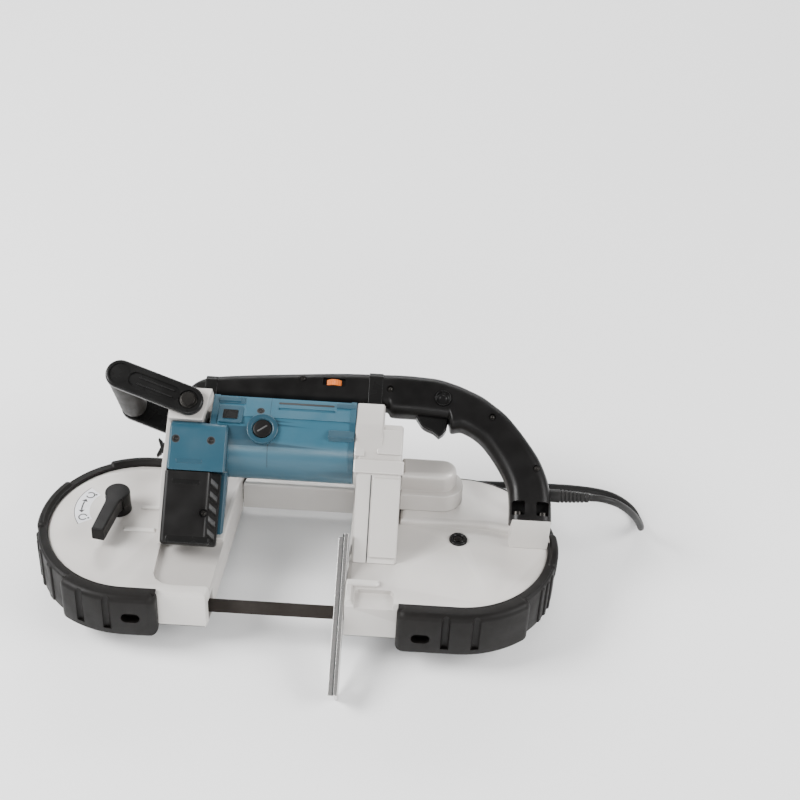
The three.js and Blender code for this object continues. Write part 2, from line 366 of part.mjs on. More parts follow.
put('handle_pivot_rear', add(cylN(-112.9, 188.6, 4.3, -54.6, -34.3, 16), cylN(-112.9, 188.6, 2.9, -35, -24, 12), cylN(-112.9, 188.6, 6.5, -57.6, -55.8, 16), cylN(-112.9, 188.6, 4.3, -56.4, -54, 16)), DARKSTEEL);
{
  const [y, z] = hv(-4, 155.5);
  const w = add(cylX(y, z, 5.5, -142, -136.4, 16), cylX(y, z, 2.9, -137, -125, 12),
    hpl([[-142.5, 153], [-138, 153], [-138, 158], [-141, 158], [-142, 162], [-146, 165.5], [-146.5, 163], [-143.5, 155.5], [-146.5, 148], [-146, 145.5], [-142, 149], [-141, 153]], -6.5, -1.5));
  put('bracket_knob', w, BLACK);
}

// ---------- mains cord ----------
const [RY0, RZ0] = hv(0, 129.5);
put('strain_relief', add(cylX(RY0, RZ0, 6.5, 228, 252, 16), cylX(RY0, RZ0, 6.8, 250, 284, 16, 4.6)), RUBBER);
const toRow = (x, y, z) => { const t = -TILT * Math.PI / 180; return [x + OX, y * Math.cos(t) + z * Math.sin(t) + OY, -y * Math.sin(t) + z * Math.cos(t) + LIFT]; };
const P0 = toRow(284.6, RY0, RZ0);
const CR2 = CORD_D / 2, FL = CR2 + 0.25;
const COIL = [-18, 184], COIL_R = 44.05;      // coil centre and the radius of its outer turns
const EX = COIL[0] + COIL_R + 7.9, RB = 32;  // the cord runs in beside the coil, after a bend of radius RB
const bend = [270, 247.5, 225, 202.5, 180].map(a => [EX + RB + RB * Math.cos(a * Math.PI / 180), 166 + RB * Math.sin(a * Math.PI / 180), FL]);
const route = [P0, [P0[0] + 9, P0[1], P0[2]], [P0[0] + 18, P0[1] + 0.6, P0[2] - 2.5], [P0[0] + 30, P0[1] + 3, P0[2] - 10], [P0[0] + 46, P0[1] + 10, P0[2] - 30], [P0[0] + 58, P0[1] + 20, P0[2] - 55],
  [P0[0] + 66, P0[1] + 33, FL + 12], [P0[0] + 67, P0[1] + 50, FL + 1.5], [P0[0] + 59, P0[1] + 70, FL], [P0[0] + 40, P0[1] + 85, FL], [P0[0] + 12, P0[1] + 91, FL],
  [P0[0] - 30, P0[1] + 92, FL], [P0[0] - 70, P0[1] + 91, FL], [P0[0] - 120, P0[1] + 89.5, FL], [P0[0] - 170, P0[1] + 88.8, FL], [90, 134, FL], ...bend, [EX, COIL[1], FL]];
{
  const c = new THREE.CatmullRomCurve3(route.map(p => new THREE.Vector3(...p)), false, 'centripetal');
  const g = new THREE.ExtrudeGeometry(shape(arc(0, 0, CR2, 0, 315, 7)), { steps: 56, bevelEnabled: false, extrudePath: c });
  put('power_cord', solid(g), BLACK, group);
}
put('cord_coil', latheSolid([[33.4, 0.3], [47.7, 0.3], [47.7, 35.6], [33.4, 35.6], [33.4, 0.3]], 36).translate([COIL[0], COIL[1], 0]), BLACK, group);
put('plug', add(box(-88.05, -66.05, 146, 182.2, 0.3, 22), box(-80, -74, 128, 147, 6, 10), box(-80, -74, 128, 147, 14, 18)), BLACK, group);

export default group;
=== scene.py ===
import json
import math
import bpy
import bmesh
import numpy as np
from mathutils import Matrix, Vector


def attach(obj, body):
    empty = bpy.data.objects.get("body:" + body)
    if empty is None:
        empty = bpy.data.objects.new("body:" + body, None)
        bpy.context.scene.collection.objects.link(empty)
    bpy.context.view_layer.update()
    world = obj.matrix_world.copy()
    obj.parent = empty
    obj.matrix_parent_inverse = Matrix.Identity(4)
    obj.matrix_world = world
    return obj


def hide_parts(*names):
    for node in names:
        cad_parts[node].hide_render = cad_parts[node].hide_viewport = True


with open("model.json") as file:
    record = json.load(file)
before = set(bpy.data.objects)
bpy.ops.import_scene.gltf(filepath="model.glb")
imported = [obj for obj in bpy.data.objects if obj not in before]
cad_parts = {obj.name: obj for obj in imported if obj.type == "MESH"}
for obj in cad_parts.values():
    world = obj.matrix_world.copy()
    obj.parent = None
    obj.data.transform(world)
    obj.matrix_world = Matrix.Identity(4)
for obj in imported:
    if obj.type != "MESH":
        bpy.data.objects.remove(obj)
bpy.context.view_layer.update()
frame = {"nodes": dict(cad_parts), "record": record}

nodes = frame["nodes"]
sc = bpy.context.scene
rad = math.radians

# ---------------------------------------------------------------- frames
# Tool frame: X along the blade, Z along the wheel axles, in millimetres.
# Handle frame: X, v up the feed direction, n towards the operator.
OX, OY, LIFT = 0.0, -3.45, 19.22
C8, S8 = math.cos(rad(8)), math.sin(rad(8))
SU, CU = math.sin(rad(57)), math.cos(rad(57))
BY, BZ, WY, WX, CY, VM = 10 - 81.05, 13.0, 10.0, 158.0, 4.0, 168.0


def T(x, y, z):
    """Tool frame (mm) to the row frame (m)."""
    return Vector(((x + OX) / 1000, (y * C8 + z * S8 + OY) / 1000, (-y * S8 + z * C8 + LIFT) / 1000))


def H(x, v, n):
    """Handle frame (mm) to the row frame (m)."""
    return T(x, BY + SU * v - CU * n, BZ + CU * v + SU * n)


def mat_from(fn):
    """4x4 that takes millimetres in a frame to metres in the row frame."""
    o = fn(0, 0, 0)
    cols = [(fn(*[1000.0 if i == k else 0.0 for i in range(3)]) - o) / 1000 for k in range(3)]
    m = Matrix.Identity(4)
    for k in range(3):
        for r in range(3):
            m[r][k] = cols[k][r]
        m[k][3] = o[k]
    return m


MT, MH = mat_from(T), mat_from(H)

# ---------------------------------------------------------------- camera
cam = bpy.data.cameras.new("camera")
cam.sensor_width = 36
cam.lens = 68.175
cam.clip_start = 0.05
co = bpy.data.objects.new("camera", cam)
sc.collection.objects.link(co)
co.location = (0.09182, -0.93159, 1.23746)
co.rotation_euler = (0.76417, -0.04214, 0.0439)
sc.camera = co


# ---------------------------------------------------------------- materials
def new_mat(name):
    m = bpy.data.materials.new(name)
    m.use_nodes = True
    nt = m.node_tree
    nt.nodes.clear()
    out = nt.nodes.new("ShaderNodeOutputMaterial")
    b = nt.nodes.new("ShaderNodeBsdfPrincipled")
    nt.links.new(b.outputs[0], out.inputs[0])
    return m, nt, b


def N(nt, kind, **kw):
    n = nt.nodes.new(kind)
    for k, v in kw.items():
        if k.startswith("i_"):
            n.inputs[k[2:].replace("_", " ")].default_value = v
        else:
            setattr(n, k, v)
    return n


def ramp(nt, fac, stops):
    r = nt.nodes.new("ShaderNodeValToRGB")
    nt.links.new(fac, r.inputs[0])
    e = r.color_ramp.elements
    while len(e) < len(stops):
        e.new(0.5)
    for el, (p, c) in zip(e, stops):
        el.position = p
        el.color = (*c, 1) if len(c) == 3 else c
    return r.outputs[0]


def mix(nt, fac, a, b, kind="MIX"):
    m = nt.nodes.new("ShaderNodeMix")
    m.data_type = "RGBA"
    m.blend_type = kind
    if hasattr(fac, "is_output"):
        nt.links.new(fac, m.inputs[0])
    else:
        m.inputs[0].default_value = fac
    for sock, v in ((m.inputs[6], a), (m.inputs[7], b)):
        if hasattr(v, "is_output"):
            nt.links.new(v, sock)
        else:
            sock.default_value = (*v, 1)
    return m.outputs[2]


def coords(nt, scale=(1, 1, 1)):
    tc = nt.nodes.new("ShaderNodeTexCoord")
    mp = nt.nodes.new("ShaderNodeMapping")
    mp.inputs["Scale"].default_value = scale
    nt.links.new(tc.outputs["Object"], mp.inputs[0])
    return mp.outputs[0]


def noise(nt, vec, scale, detail=3.0, rough=0.55):
    n = nt.nodes.new("ShaderNodeTexNoise")
    n.inputs["Scale"].default_value = scale
    n.inputs["Detail"].default_value = detail
    n.inputs["Roughness"].default_value = rough
    nt.links.new(vec, n.inputs["Vector"])
    return n.outputs[0]


def bump(nt, bsdf, parts):
    """parts: list of (height socket, distance in metres, strength)."""
    prev = None
    for h, d, s in parts:
        b = nt.nodes.new("ShaderNodeBump")
        b.inputs["Strength"].default_value = s
        b.inputs["Distance"].default_value = d
        nt.links.new(h, b.inputs["Height"])
        if prev is not None:
            nt.links.new(prev, b.inputs["Normal"])
        prev = b.outputs[0]
    nt.links.new(prev, bsdf.inputs["Normal"])


# mask of the convex edges, by pointiness, used to paint a highlight along them
def highlight_edge_mask(nt, lo=0.52, hi=0.60):
    g = nt.nodes.new("ShaderNodeNewGeometry")
    return ramp(nt, g.outputs["Pointiness"], [(lo, (0, 0, 0)), (hi, (1, 1, 1))])


def painted(name, base, dark, light, rough=0.42, metallic=0.0, grain=1400, depth=0.00006, edge_highlight=None, mottled=9.0):
    m, nt, b = new_mat(name)
    v = coords(nt)
    big = noise(nt, v, mottled, 4)
    fine = noise(nt, v, grain, 2)
    col = ramp(nt, big, [(0.30, dark), (0.5, base), (0.72, light)])
    # painted highlight: convex edges are mixed towards the lighter edge_highlight colour
    if edge_highlight:
        col = mix(nt, highlight_edge_mask(nt), col, edge_highlight)
    nt.links.new(col, b.inputs["Base Color"])
    rr = ramp(nt, noise(nt, v, 40, 3), [(0.3, (rough - 0.06,) * 3), (0.7, (rough + 0.08,) * 3)])
    nt.links.new(rr, b.inputs["Roughness"])
    b.inputs["Metallic"].default_value = metallic
    bump(nt, b, [(fine, depth, 0.35), (noise(nt, v, 90, 3), 0.0002, 0.10)])
    if name == "casting_silver":
        be = nt.nodes.new("ShaderNodeBevel")
        be.samples = 6
        be.inputs["Radius"].default_value = 0.0011
        first = next(x for x in nt.nodes if x.type == "BUMP" and not x.inputs["Normal"].is_linked)
        nt.links.new(be.outputs[0], first.inputs["Normal"])
    return m


def plastic(name, base, light, rough=0.45, grain=2200, depth=0.00008, coat=0.0, spec=0.20):
    m, nt, b = new_mat(name)
    v = coords(nt)
    col = ramp(nt, noise(nt, v, 14, 4), [(0.30, base), (0.75, light)])
    # painted highlight: convex edges are mixed towards a brighter copy of the light colour
    col = mix(nt, highlight_edge_mask(nt, 0.53, 0.66), col, tuple(min(1, c * 1.9 + 0.01) for c in light))
    nt.links.new(col, b.inputs["Base Color"])
    rr = ramp(nt, noise(nt, v, 55, 3), [(0.3, (rough - 0.05,) * 3), (0.7, (rough + 0.09,) * 3)])
    nt.links.new(rr, b.inputs["Roughness"])
    b.inputs["Coat Weight"].default_value = coat
    b.inputs["Specular IOR Level"].default_value = spec
    vo = nt.nodes.new("ShaderNodeTexVoronoi")
    vo.inputs["Scale"].default_value = grain
    nt.links.new(v, vo.inputs["Vector"])
    bump(nt, b, [(vo.outputs["Distance"], depth, 0.35), (noise(nt, v, 120, 2), 0.0002, 0.06)])
    return m


def metal(name, base, dark, rough=0.32, brushed=(1, 60, 60), grain=300):
    m, nt, b = new_mat(name)
    v = coords(nt, brushed)
    st = noise(nt, v, grain, 3)
    w = noise(nt, coords(nt), 18, 4)
    col = mix(nt, 0.35, ramp(nt, w, [(0.3, dark), (0.7, base)]), ramp(nt, st, [(0.3, dark), (0.7, base)]))
    nt.links.new(col, b.inputs["Base Color"])
    rr = ramp(nt, st, [(0.3, (rough - 0.08,) * 3), (0.7, (rough + 0.12,) * 3)])
    nt.links.new(rr, b.inputs["Roughness"])
    b.inputs["Metallic"].default_value = 1.0
    bump(nt, b, [(st, 0.00004, 0.35)])
    return m


M = {}
# the edge_highlight colours below are painted highlights along the convex edges
M["casting"] = painted("casting_silver", (0.50, 0.475, 0.45), (0.46, 0.435, 0.41), (0.535, 0.51, 0.485), rough=0.36, metallic=0.15, edge_highlight=(0.66, 0.64, 0.61))
M["motor_blue"] = painted("motor_blue", (0.0075, 0.041, 0.064), (0.0062, 0.0345, 0.0545), (0.0094, 0.049, 0.075), rough=0.34, grain=1900, depth=0.00005, edge_highlight=(0.022, 0.085, 0.125))
M["black_plastic"] = plastic("black_plastic", (0.0028, 0.0026, 0.0025), (0.0055, 0.005, 0.0048), rough=0.36)
M["rubber"] = plastic("bumper_rubber", (0.0026, 0.0021, 0.0018), (0.0055, 0.0045, 0.0038), rough=0.50, grain=1500, depth=0.0001)
M["cord_rubber"] = plastic("cord_rubber", (0.009, 0.0088, 0.0086), (0.016, 0.0155, 0.015), rough=0.46, grain=1800, depth=0.00004)
M["steel"] = metal("machined_steel", (0.62, 0.61, 0.60), (0.38, 0.375, 0.37))
M["bright_steel"] = metal("bright_plate", (0.60, 0.59, 0.575), (0.44, 0.43, 0.42), rough=0.28)
M["blade_steel"] = metal("blade_steel", (0.085, 0.075, 0.068), (0.035, 0.030, 0.027), rough=0.38)
M["wheel_casting"] = painted("wheel_casting", (0.50, 0.50, 0.50), (0.40, 0.40, 0.40), (0.58, 0.58, 0.58), rough=0.48, metallic=0.8)
M["dial_orange"] = plastic("dial_orange", (0.52, 0.11, 0.012), (0.62, 0.15, 0.020), rough=0.38, grain=1600, depth=0.00004)
M["carbon"] = plastic("carbon", (0.012, 0.012, 0.012), (0.03, 0.03, 0.03), rough=0.65)
M["core"] = metal("laminated_core", (0.26, 0.23, 0.21), (0.11, 0.10, 0.09), rough=0.45, brushed=(90, 1, 1))
M["grey_nylon"] = plastic("grey_nylon", (0.10, 0.10, 0.10), (0.16, 0.16, 0.16), rough=0.5)
M["dark_steel"] = metal("dark_fastener", (0.05, 0.047, 0.044), (0.018, 0.017, 0.016), rough=0.36)
M["black_gloss"] = plastic("black_gloss", (0.0045, 0.0044, 0.0043), (0.009, 0.0088, 0.0086), rough=0.24, grain=2600, depth=0.00004)
M["grip_rubber"] = plastic("grip_rubber", (0.030, 0.0285, 0.027), (0.045, 0.043, 0.041), rough=0.5, grain=1400, depth=0.0001)
M["label_plate"] = painted("label_plate", (0.70, 0.70, 0.73), (0.66, 0.66, 0.69), (0.74, 0.74, 0.77), rough=0.3)
M["label_ink"] = painted("label_ink", (0.028, 0.028, 0.029), (0.022, 0.022, 0.022), (0.04, 0.04, 0.04), rough=0.5)

SLOT = {s["node"]: s["material_slot"] for s in frame["record"]["subparts"]}
for n, o in nodes.items():
    o.data.materials.clear()
    o.data.materials.append(M[SLOT[n]])
for n in ("work_stop",):
    nodes[n].data.materials[0] = M["bright_steel"]
for n in ("handle_bolt_left", "handle_bolt_right", "handle_pivot_front", "handle_pivot_rear", "left_guide_block", "right_guide_block"):
    nodes[n].data.materials[0] = M["dark_steel"]


# ---------------------------------------------------------------- edges of the CAD nodes
def refine(name, width, seg=3, angle=32, planar=0.6):
    """Rounded and smoothly shaded edges, by modifiers alone."""
    o = nodes[name]
    w = o.modifiers.new("weld", "WELD")
    w.merge_threshold = 0.00002
    d = o.modifiers.new("planar", "DECIMATE")
    d.decimate_type = "DISSOLVE"
    d.angle_limit = rad(planar)
    if width:
        b = o.modifiers.new("bevel", "BEVEL")
        b.width = width
        b.segments = seg
        b.limit_method = "ANGLE"
        b.angle_limit = rad(angle)
        b.use_clamp_overlap = True
        b.harden_normals = False
        b.miter_outer = "MITER_ARC"
    for p in o.data.polygons:
        p.use_smooth = True
    e = o.modifiers.new("split", "EDGE_SPLIT")
    e.split_angle = rad(31)
    n = o.modifiers.new("normals", "WEIGHTED_NORMAL")
    n.keep_sharp = True
    n.weight = 60
    return o


SOFT_EDGE = {
    "gear_housing": 0.0012, "bevel_gear_case": 0.0009, "motor_bracket": 0.0012,
    "motor_housing": 0.0007, "end_cover": 0.0012, "vent_cover": 0.0010, "handle_shell_front": 0.0006,
    "handle_shell_rear": 0.0006, "front_handle": 0.0012, "trigger": 0.0010, "lock_button": 0.0007, "speed_dial": 0.0005,
    "left_bumper": 0.0012, "right_bumper": 0.0012, "work_stop": 0.0004, "tension_lever": 0.0011, "bracket_knob": 0.0005,
    "brush_cap_front": 0.0006, "brush_cap_rear": 0.0006, "shaft_seal": 0.0004, "idler_wheel_guard": 0.0005,
    "drive_wheel_guard": 0.0005, "left_guide_block": 0.0004, "right_guide_block": 0.0004, "drive_wheel": 0.0006,
    "idler_wheel": 0.0006, "switch_body": 0.0004, "handle_pivot_front": 0.0003, "handle_pivot_rear": 0.0003,
}
for n in nodes:
    if n != "main_frame":
        refine(n, SOFT_EDGE.get(n, 0))
for p in nodes["main_frame"].data.polygons:
    p.use_smooth = False

# ---------------------------------------------------------------- cord, coil and plug
def to_row(x, y, z):
    return T(x, y, z) * 1000


P0 = H(284.6, 129.5, 0) * 1000
CR = 3.5
FL = CR + 0.25
CX, CYc, RI, RO, PZ = -18.0, 184.0, 37.0, 44.05, 7.05
EX, RB = CX + RO + 7.9, 32.0
a, b, h = P0
route = [(a, b, h), (a + 9, b, h), (a + 18, b + .6, h - 2.5), (a + 30, b + 3, h - 10), (a + 46, b + 10, h - 30), (a + 58, b + 20, h - 55),
         (a + 66, b + 33, FL + 12), (a + 67, b + 50, FL + 1.5), (a + 59, b + 70, FL), (a + 40, b + 85, FL), (a + 12, b + 91, FL),
         (a - 30, b + 92, FL), (a - 70, b + 91, FL), (a - 120, b + 89.5, FL), (a - 170, b + 88.8, FL), (90, 134, FL)]
route += [(EX + RB + RB * math.cos(rad(q)), 166 + RB * math.sin(rad(q)), FL) for q in (270, 247.5, 225, 202.5, 180)]
keys = [(0, RO + 7.9, 0), (90, RO, 0), (270, RO, 0), (360, RI, 0), (540, RI, 0), (630, RI, 1), (810, RI, 1), (900, RO, 1), (1080, RO, 1),
        (1170, RO, 2), (1350, RO, 2), (1440, RI, 2), (1620, RI, 2), (1710, RI, 3), (1890, RI, 3), (1980, RO, 3), (2160, RO, 3), (2250, RO, 4), (2484, RO, 4)]
REND = RO + 14.8
sm = lambda u: u * u * (3 - 2 * u)


def coil_at(th):
    for p, q in zip(keys, keys[1:]):
        if p[0] <= th <= q[0]:
            u = sm((th - p[0]) / (q[0] - p[0]))
            return p[1] + (q[1] - p[1]) * u, FL + PZ * (p[2] + (q[2] - p[2]) * u)
    u = sm(min(1, (th - 2484) / 80))
    v = sm(min(1, max(0, (th - 2600) / 96)))
    w = sm(min(1, max(0, (th - 2545) / 150)))
    return RO + 8.2 * u + (REND - RO - 8.2) * v, FL + PZ * 4 + (11 - FL - PZ * 4) * w


cordpts = list(route)
for th in list(np.arange(0, 2696, 22.5)) + [2696]:
    r, z = coil_at(th)
    cordpts.append((CX + r * math.cos(rad(th)), CYc + r * math.sin(rad(th)), z))
cordpts.append((CX - REND, CYc - 1.5, 11.0))


def curve(name, pts_mm, radius_mm, cyclic=False):
    cu = bpy.data.curves.new(name, "CURVE")
    cu.dimensions = "3D"
    cu.bevel_depth = radius_mm / 1000
    cu.bevel_resolution = 5
    cu.use_fill_caps = True
    cu.resolution_u = 5
    sp = cu.splines.new("BEZIER")
    sp.bezier_points.add(len(pts_mm) - 1)
    P = np.array([tuple(p) for p in pts_mm], float) / 1000
    n = len(P)
    for i in range(n):
        bp = sp.bezier_points[i]
        pr, nx = P[(i - 1) % n] if (i or cyclic) else P[i], P[(i + 1) % n] if (i < n - 1 or cyclic) else P[i]
        t = nx - pr
        t = t / max(1e-9, np.linalg.norm(t))
        l0, l1 = np.linalg.norm(P[i] - pr) / 3, np.linalg.norm(nx - P[i]) / 3
        bp.handle_left_type = bp.handle_right_type = "FREE"
        bp.co = P[i]
        bp.handle_left = P[i] - t * l0
        bp.handle_right = P[i] + t * l1
    sp.use_cyclic_u = cyclic
    o = bpy.data.objects.new(name, cu)
    sc.collection.objects.link(o)
    return o


cord = curve("mains_cord", cordpts, CR)
cord.data.materials.append(M["cord_rubber"])
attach(cord, "root")
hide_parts("power_cord", "cord_coil")


# ---------------------------------------------------------------- mesh helpers
def add_mesh(name, verts, faces, mat, frame_m=None, smooth=True):
    me = bpy.data.meshes.new(name)
    me.from_pydata([tuple(v) for v in verts], [], faces)
    me.validate()
    o = bpy.data.objects.new(name, me)
    sc.collection.objects.link(o)
    if frame_m is not None:
        me.transform(frame_m)
    if mat is not None:
        me.materials.append(mat)
    bm = bmesh.new()
    bm.from_mesh(me)
    bmesh.ops.recalc_face_normals(bm, faces=bm.faces)
    bm.to_mesh(me)
    bm.free()
    for p in me.polygons:
        p.use_smooth = smooth
    return o


def prism(name, poly, z0, z1, mat, frame_m, bevel=0.6, seg=3, smooth=True, angle=40):
    """A closed outline in the first two axes of a frame (mm), from z0 to z1, with rounded edges."""
    n = len(poly)
    v = [(x, y, z0) for x, y in poly] + [(x, y, z1) for x, y in poly]
    f = [tuple(range(n))[::-1], tuple(range(n, 2 * n))] + [(i, (i + 1) % n, n + (i + 1) % n, n + i) for i in range(n)]
    o = add_mesh(name, v, f, mat, frame_m, smooth)
    if bevel:
        b = o.modifiers.new("bevel", "BEVEL")
        b.width = bevel / 1000
        b.segments = seg
        b.limit_method = "ANGLE"
        b.angle_limit = rad(angle)
    w = o.modifiers.new("normals", "WEIGHTED_NORMAL")
    w.weight = 60
    return o


def lathe(name, prof, mat, m4, seg=48):
    """Profile of (radius, height) in mm turned about the third axis of the given matrix."""
    v, f = [], []
    n = len(prof)
    for i in range(seg):
        q = 2 * math.pi * i / seg
        for r, z in prof:
            v.append((r * math.cos(q), r * math.sin(q), z))
    for i in range(seg):
        j = (i + 1) % seg
        for k in range(n - 1):
            f.append((i * n + k, j * n + k, j * n + k + 1, i * n + k + 1))
    o = add_mesh(name, v, f, mat, None)
    bm = bmesh.new()
    bm.from_mesh(o.data)
    bmesh.ops.remove_doubles(bm, verts=bm.verts, dist=1e-4)
    bmesh.ops.recalc_face_normals(bm, faces=bm.faces)
    bm.to_mesh(o.data)
    bm.free()
    o.data.transform(m4)
    for p in o.data.polygons:
        p.use_smooth = True
    es = o.modifiers.new("bevel", "BEVEL")
    es.width = 0.00025
    es.segments = 2
    es.limit_method = "ANGLE"
    es.angle_limit = rad(35)
    w = o.modifiers.new("normals", "WEIGHTED_NORMAL")
    w.weight = 60
    return o


def at(m, x, y, z, axis="z"):
    """Matrix of a local frame placed in MT or MH with its own Z along the named axis."""
    R = {"z": Matrix.Identity(4), "x": Matrix(((0, 0, 1, 0), (1, 0, 0, 0), (0, 1, 0, 0), (0, 0, 0, 1))),
         "y": Matrix(((1, 0, 0, 0), (0, 0, 1, 0), (0, -1, 0, 0), (0, 0, 0, 1)))}[axis]
    return m @ Matrix.Translation((x, y, z)) @ R


def circle(cx, cy, r, n=32, a0=0, a1=360):
    full = a1 - a0 == 360
    k = n if full else n + 1
    return [(cx + r * math.cos(rad(a0 + (a1 - a0) * i / n)), cy + r * math.sin(rad(a0 + (a1 - a0) * i / n))) for i in range(k)]


# ---------------------------------------------------------------- plug
plug_prof = [(0, 0), (4.2, 0), (4.9, 0.8), (5.0, 3), (4.6, 4.4), (5.3, 5.4), (5.3, 7.6), (5.0, 9), (5.8, 10.2), (5.8, 12.2), (6.6, 14), (8.8, 17), (10.2, 20), (10.6, 26), (10.4, 33), (9.6, 35.6), (8, 36.2), (0, 36.2)]
mp = Matrix.Translation((-0.07705, 0.1822, 0.01115)) @ Matrix.Rotation(rad(90), 4, "X") @ Matrix.Scale(0.001, 4)
plug = lathe("mains_plug", plug_prof, M["cord_rubber"], mp, 40)
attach(plug, "root")
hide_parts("plug")
for i, z in enumerate((7.0, 15.3)):
    mpin = Matrix.Translation((-0.07705, 0.1462, z / 1000)) @ Matrix.Rotation(rad(90), 4, "X") @ Matrix.Scale(0.001, 4)
    pin = lathe("plug_pin_%d" % i, [(0, -1), (2.0, -1), (2.0, 16.6), (1.5, 17.8), (0, 18.1)], M["steel"], mpin, 20)
    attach(pin, "root")
    pin.parent = plug
    pin.matrix_parent_inverse = plug.matrix_world.inverted()


# ---------------------------------------------------------------- strain relief, ribbed and tapered
sr = [(0, 0), (6.4, 0), (6.4, 24)]
for i in range(7):
    z0, r = 25 + i * 3.9, 6.7 - i * 0.24
    sr += [(r, z0), (r, z0 + 2.3), (r - 1.1, z0 + 2.7), (r - 1.1, z0 + 3.6)]
sr += [(4.9, 53), (4.6, 56), (3.7, 56.2), (0, 56.2)]
relief = lathe("strain_relief_sleeve", sr, M["cord_rubber"], at(MT, 228, BY + SU * 129.5, BZ + CU * 129.5, "x"), 40)
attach(relief, "root")
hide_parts("strain_relief")


# ---------------------------------------------------------------- stage
fl = add_mesh("floor", [(-6, -6, 0), (6, -6, 0), (6, 6, 0), (-6, 6, 0)], [(0, 1, 2, 3)], None)
fm, nt, bs = new_mat("floor_pale")
bs.inputs["Base Color"].default_value = (0.93, 0.93, 0.93, 1)
bs.inputs["Roughness"].default_value = 0.75
fl.data.materials.append(fm)

w = bpy.data.worlds.new("studio")
sc.world = w
w.use_nodes = True
wt = w.node_tree
bg = wt.nodes["Background"]
tc = wt.nodes.new("ShaderNodeTexCoord")
sp = wt.nodes.new("ShaderNodeSeparateXYZ")
wt.links.new(tc.outputs["Generated"], sp.inputs[0])
sky = ramp(wt, sp.outputs["Z"], [(0.0, (0.55, 0.55, 0.56)), (0.30, (0.62, 0.62, 0.63)), (0.70, (0.42, 0.42, 0.42))])
wt.links.new(sky, bg.inputs[0])
bg.inputs[1].default_value = 0.9


def area(name, loc, target, size, power, colour=(1, 1, 1)):
    li = bpy.data.lights.new(name, "AREA")
    li.shape = "RECTANGLE"
    li.size, li.size_y = size
    li.energy = power
    li.color = colour
    o = bpy.data.objects.new(name, li)
    sc.collection.objects.link(o)
    o.location = loc
    o.rotation_euler = (Vector(target) - Vector(loc)).to_track_quat("-Z", "Y").to_euler()


area("key", (-1.55, -0.15, 1.45), (0, 0, 0.05), (0.9, 0.9), 78)
area("fill", (1.7, -0.35, 1.25), (0, 0, 0.05), (1.2, 1.0), 48)
area("back", (0.1, 1.9, 1.15), (0, 0.05, 0.05), (2.4, 0.5), 34)
area("strip", (-0.15, -1.75, 0.9), (0, 0, 0.05), (1.6, 0.25), 16)

# ---------------------------------------------------------------- more helpers
def arc(cx, cy, r, a0, a1, n=24):
    return [(cx + r * math.cos(rad(a0 + (a1 - a0) * i / n)), cy + r * math.sin(rad(a0 + (a1 - a0) * i / n))) for i in range(n + 1)]


def spline(pts, step=4.0):
    """Catmull-Rom through an open line, resampled."""
    p = [Vector((*q, 0)) for q in pts]
    p = [p[0] * 2 - p[1]] + p + [p[-1] * 2 - p[-2]]
    out = []
    for i in range(1, len(p) - 2):
        a, b, c, d = p[i - 1:i + 3]
        k = max(2, int((c - b).length / step))
        for j in range(k):
            u = j / k
            q = 0.5 * ((2 * b) + (c - a) * u + (2 * a - 5 * b + 4 * c - d) * u * u + (3 * b - a - 3 * c + d) * u ** 3)
            out.append((q.x, q.y))
    out.append((p[-2].x, p[-2].y))
    return out


def finish_edges(o, width, seg=4, angle=40, weight=False):
    if width:
        b = o.modifiers.new("bevel", "BEVEL")
        b.width = width / 1000
        b.segments = seg
        b.limit_method = "WEIGHT" if weight else "ANGLE"
        b.angle_limit = rad(angle)
        b.use_clamp_overlap = not weight
        b.miter_outer = "MITER_ARC"
    e = o.modifiers.new("split", "EDGE_SPLIT")
    e.split_angle = rad(38)
    w = o.modifiers.new("normals", "WEIGHTED_NORMAL")
    w.weight = 60
    w.keep_sharp = True


def block(name, poly, z0, z1, mat, frame_m, b0=0.5, b1=0.5, bs=0.0, seg=4, cutters=(), body="root", stands_for=(), crisp=None):
    """A closed outline from z0 to z1, its lower, upper and upright edges rounded by b0, b1 and bs (mm). crisp(x, y) keeps an edge sharp."""
    n = len(poly)
    v = [(x, y, z0) for x, y in poly] + [(x, y, z1) for x, y in poly]
    f = [tuple(range(n))[::-1], tuple(range(n, 2 * n))] + [(i, (i + 1) % n, n + (i + 1) % n, n + i) for i in range(n)]
    o = add_mesh(name, v, f, mat, frame_m)
    me = o.data
    wmax = max(b0, b1, bs, 0.01)
    at_ = me.attributes.new("bevel_weight_edge", "FLOAT", "EDGE")
    P = [Vector((*q, 0)) for q in poly]
    for i, e in enumerate(me.edges):
        a, c = e.vertices
        mx, my = (poly[a % n][0] + poly[c % n][0]) / 2, (poly[a % n][1] + poly[c % n][1]) / 2
        if crisp and crisp(mx, my):
            at_.data[i].value = 0.0
        elif a < n and c < n:
            at_.data[i].value = b0 / wmax
        elif a >= n and c >= n:
            at_.data[i].value = b1 / wmax
        elif bs:
            k = a % n
            u, w = P[k] - P[k - 1], P[(k + 1) % n] - P[k]
            if u.length > 0 and w.length > 0 and u.angle(w) > rad(25):
                at_.data[i].value = bs / wmax
    for c in cutters:
        m = o.modifiers.new("cut", "BOOLEAN")
        m.operation = "DIFFERENCE"
        m.solver = "EXACT"
        m.object = c
    if max(b0, b1, bs) > 0:
        finish_edges(o, wmax, seg, weight=True)
    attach(o, body)
    if stands_for:
        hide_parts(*stands_for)
    return o


def cutter(name, poly, z0, z1, frame_m):
    n = len(poly)
    v = [(x, y, z0) for x, y in poly] + [(x, y, z1) for x, y in poly]
    f = [tuple(range(n))[::-1], tuple(range(n, 2 * n))] + [(i, (i + 1) % n, n + (i + 1) % n, n + i) for i in range(n)]
    o = add_mesh(name, v, f, None, frame_m)
    o.hide_render = o.hide_viewport = True
    return o


def rect(x0, x1, y0, y1):
    return [(x0, y0), (x1, y0), (x1, y1), (x0, y1)]


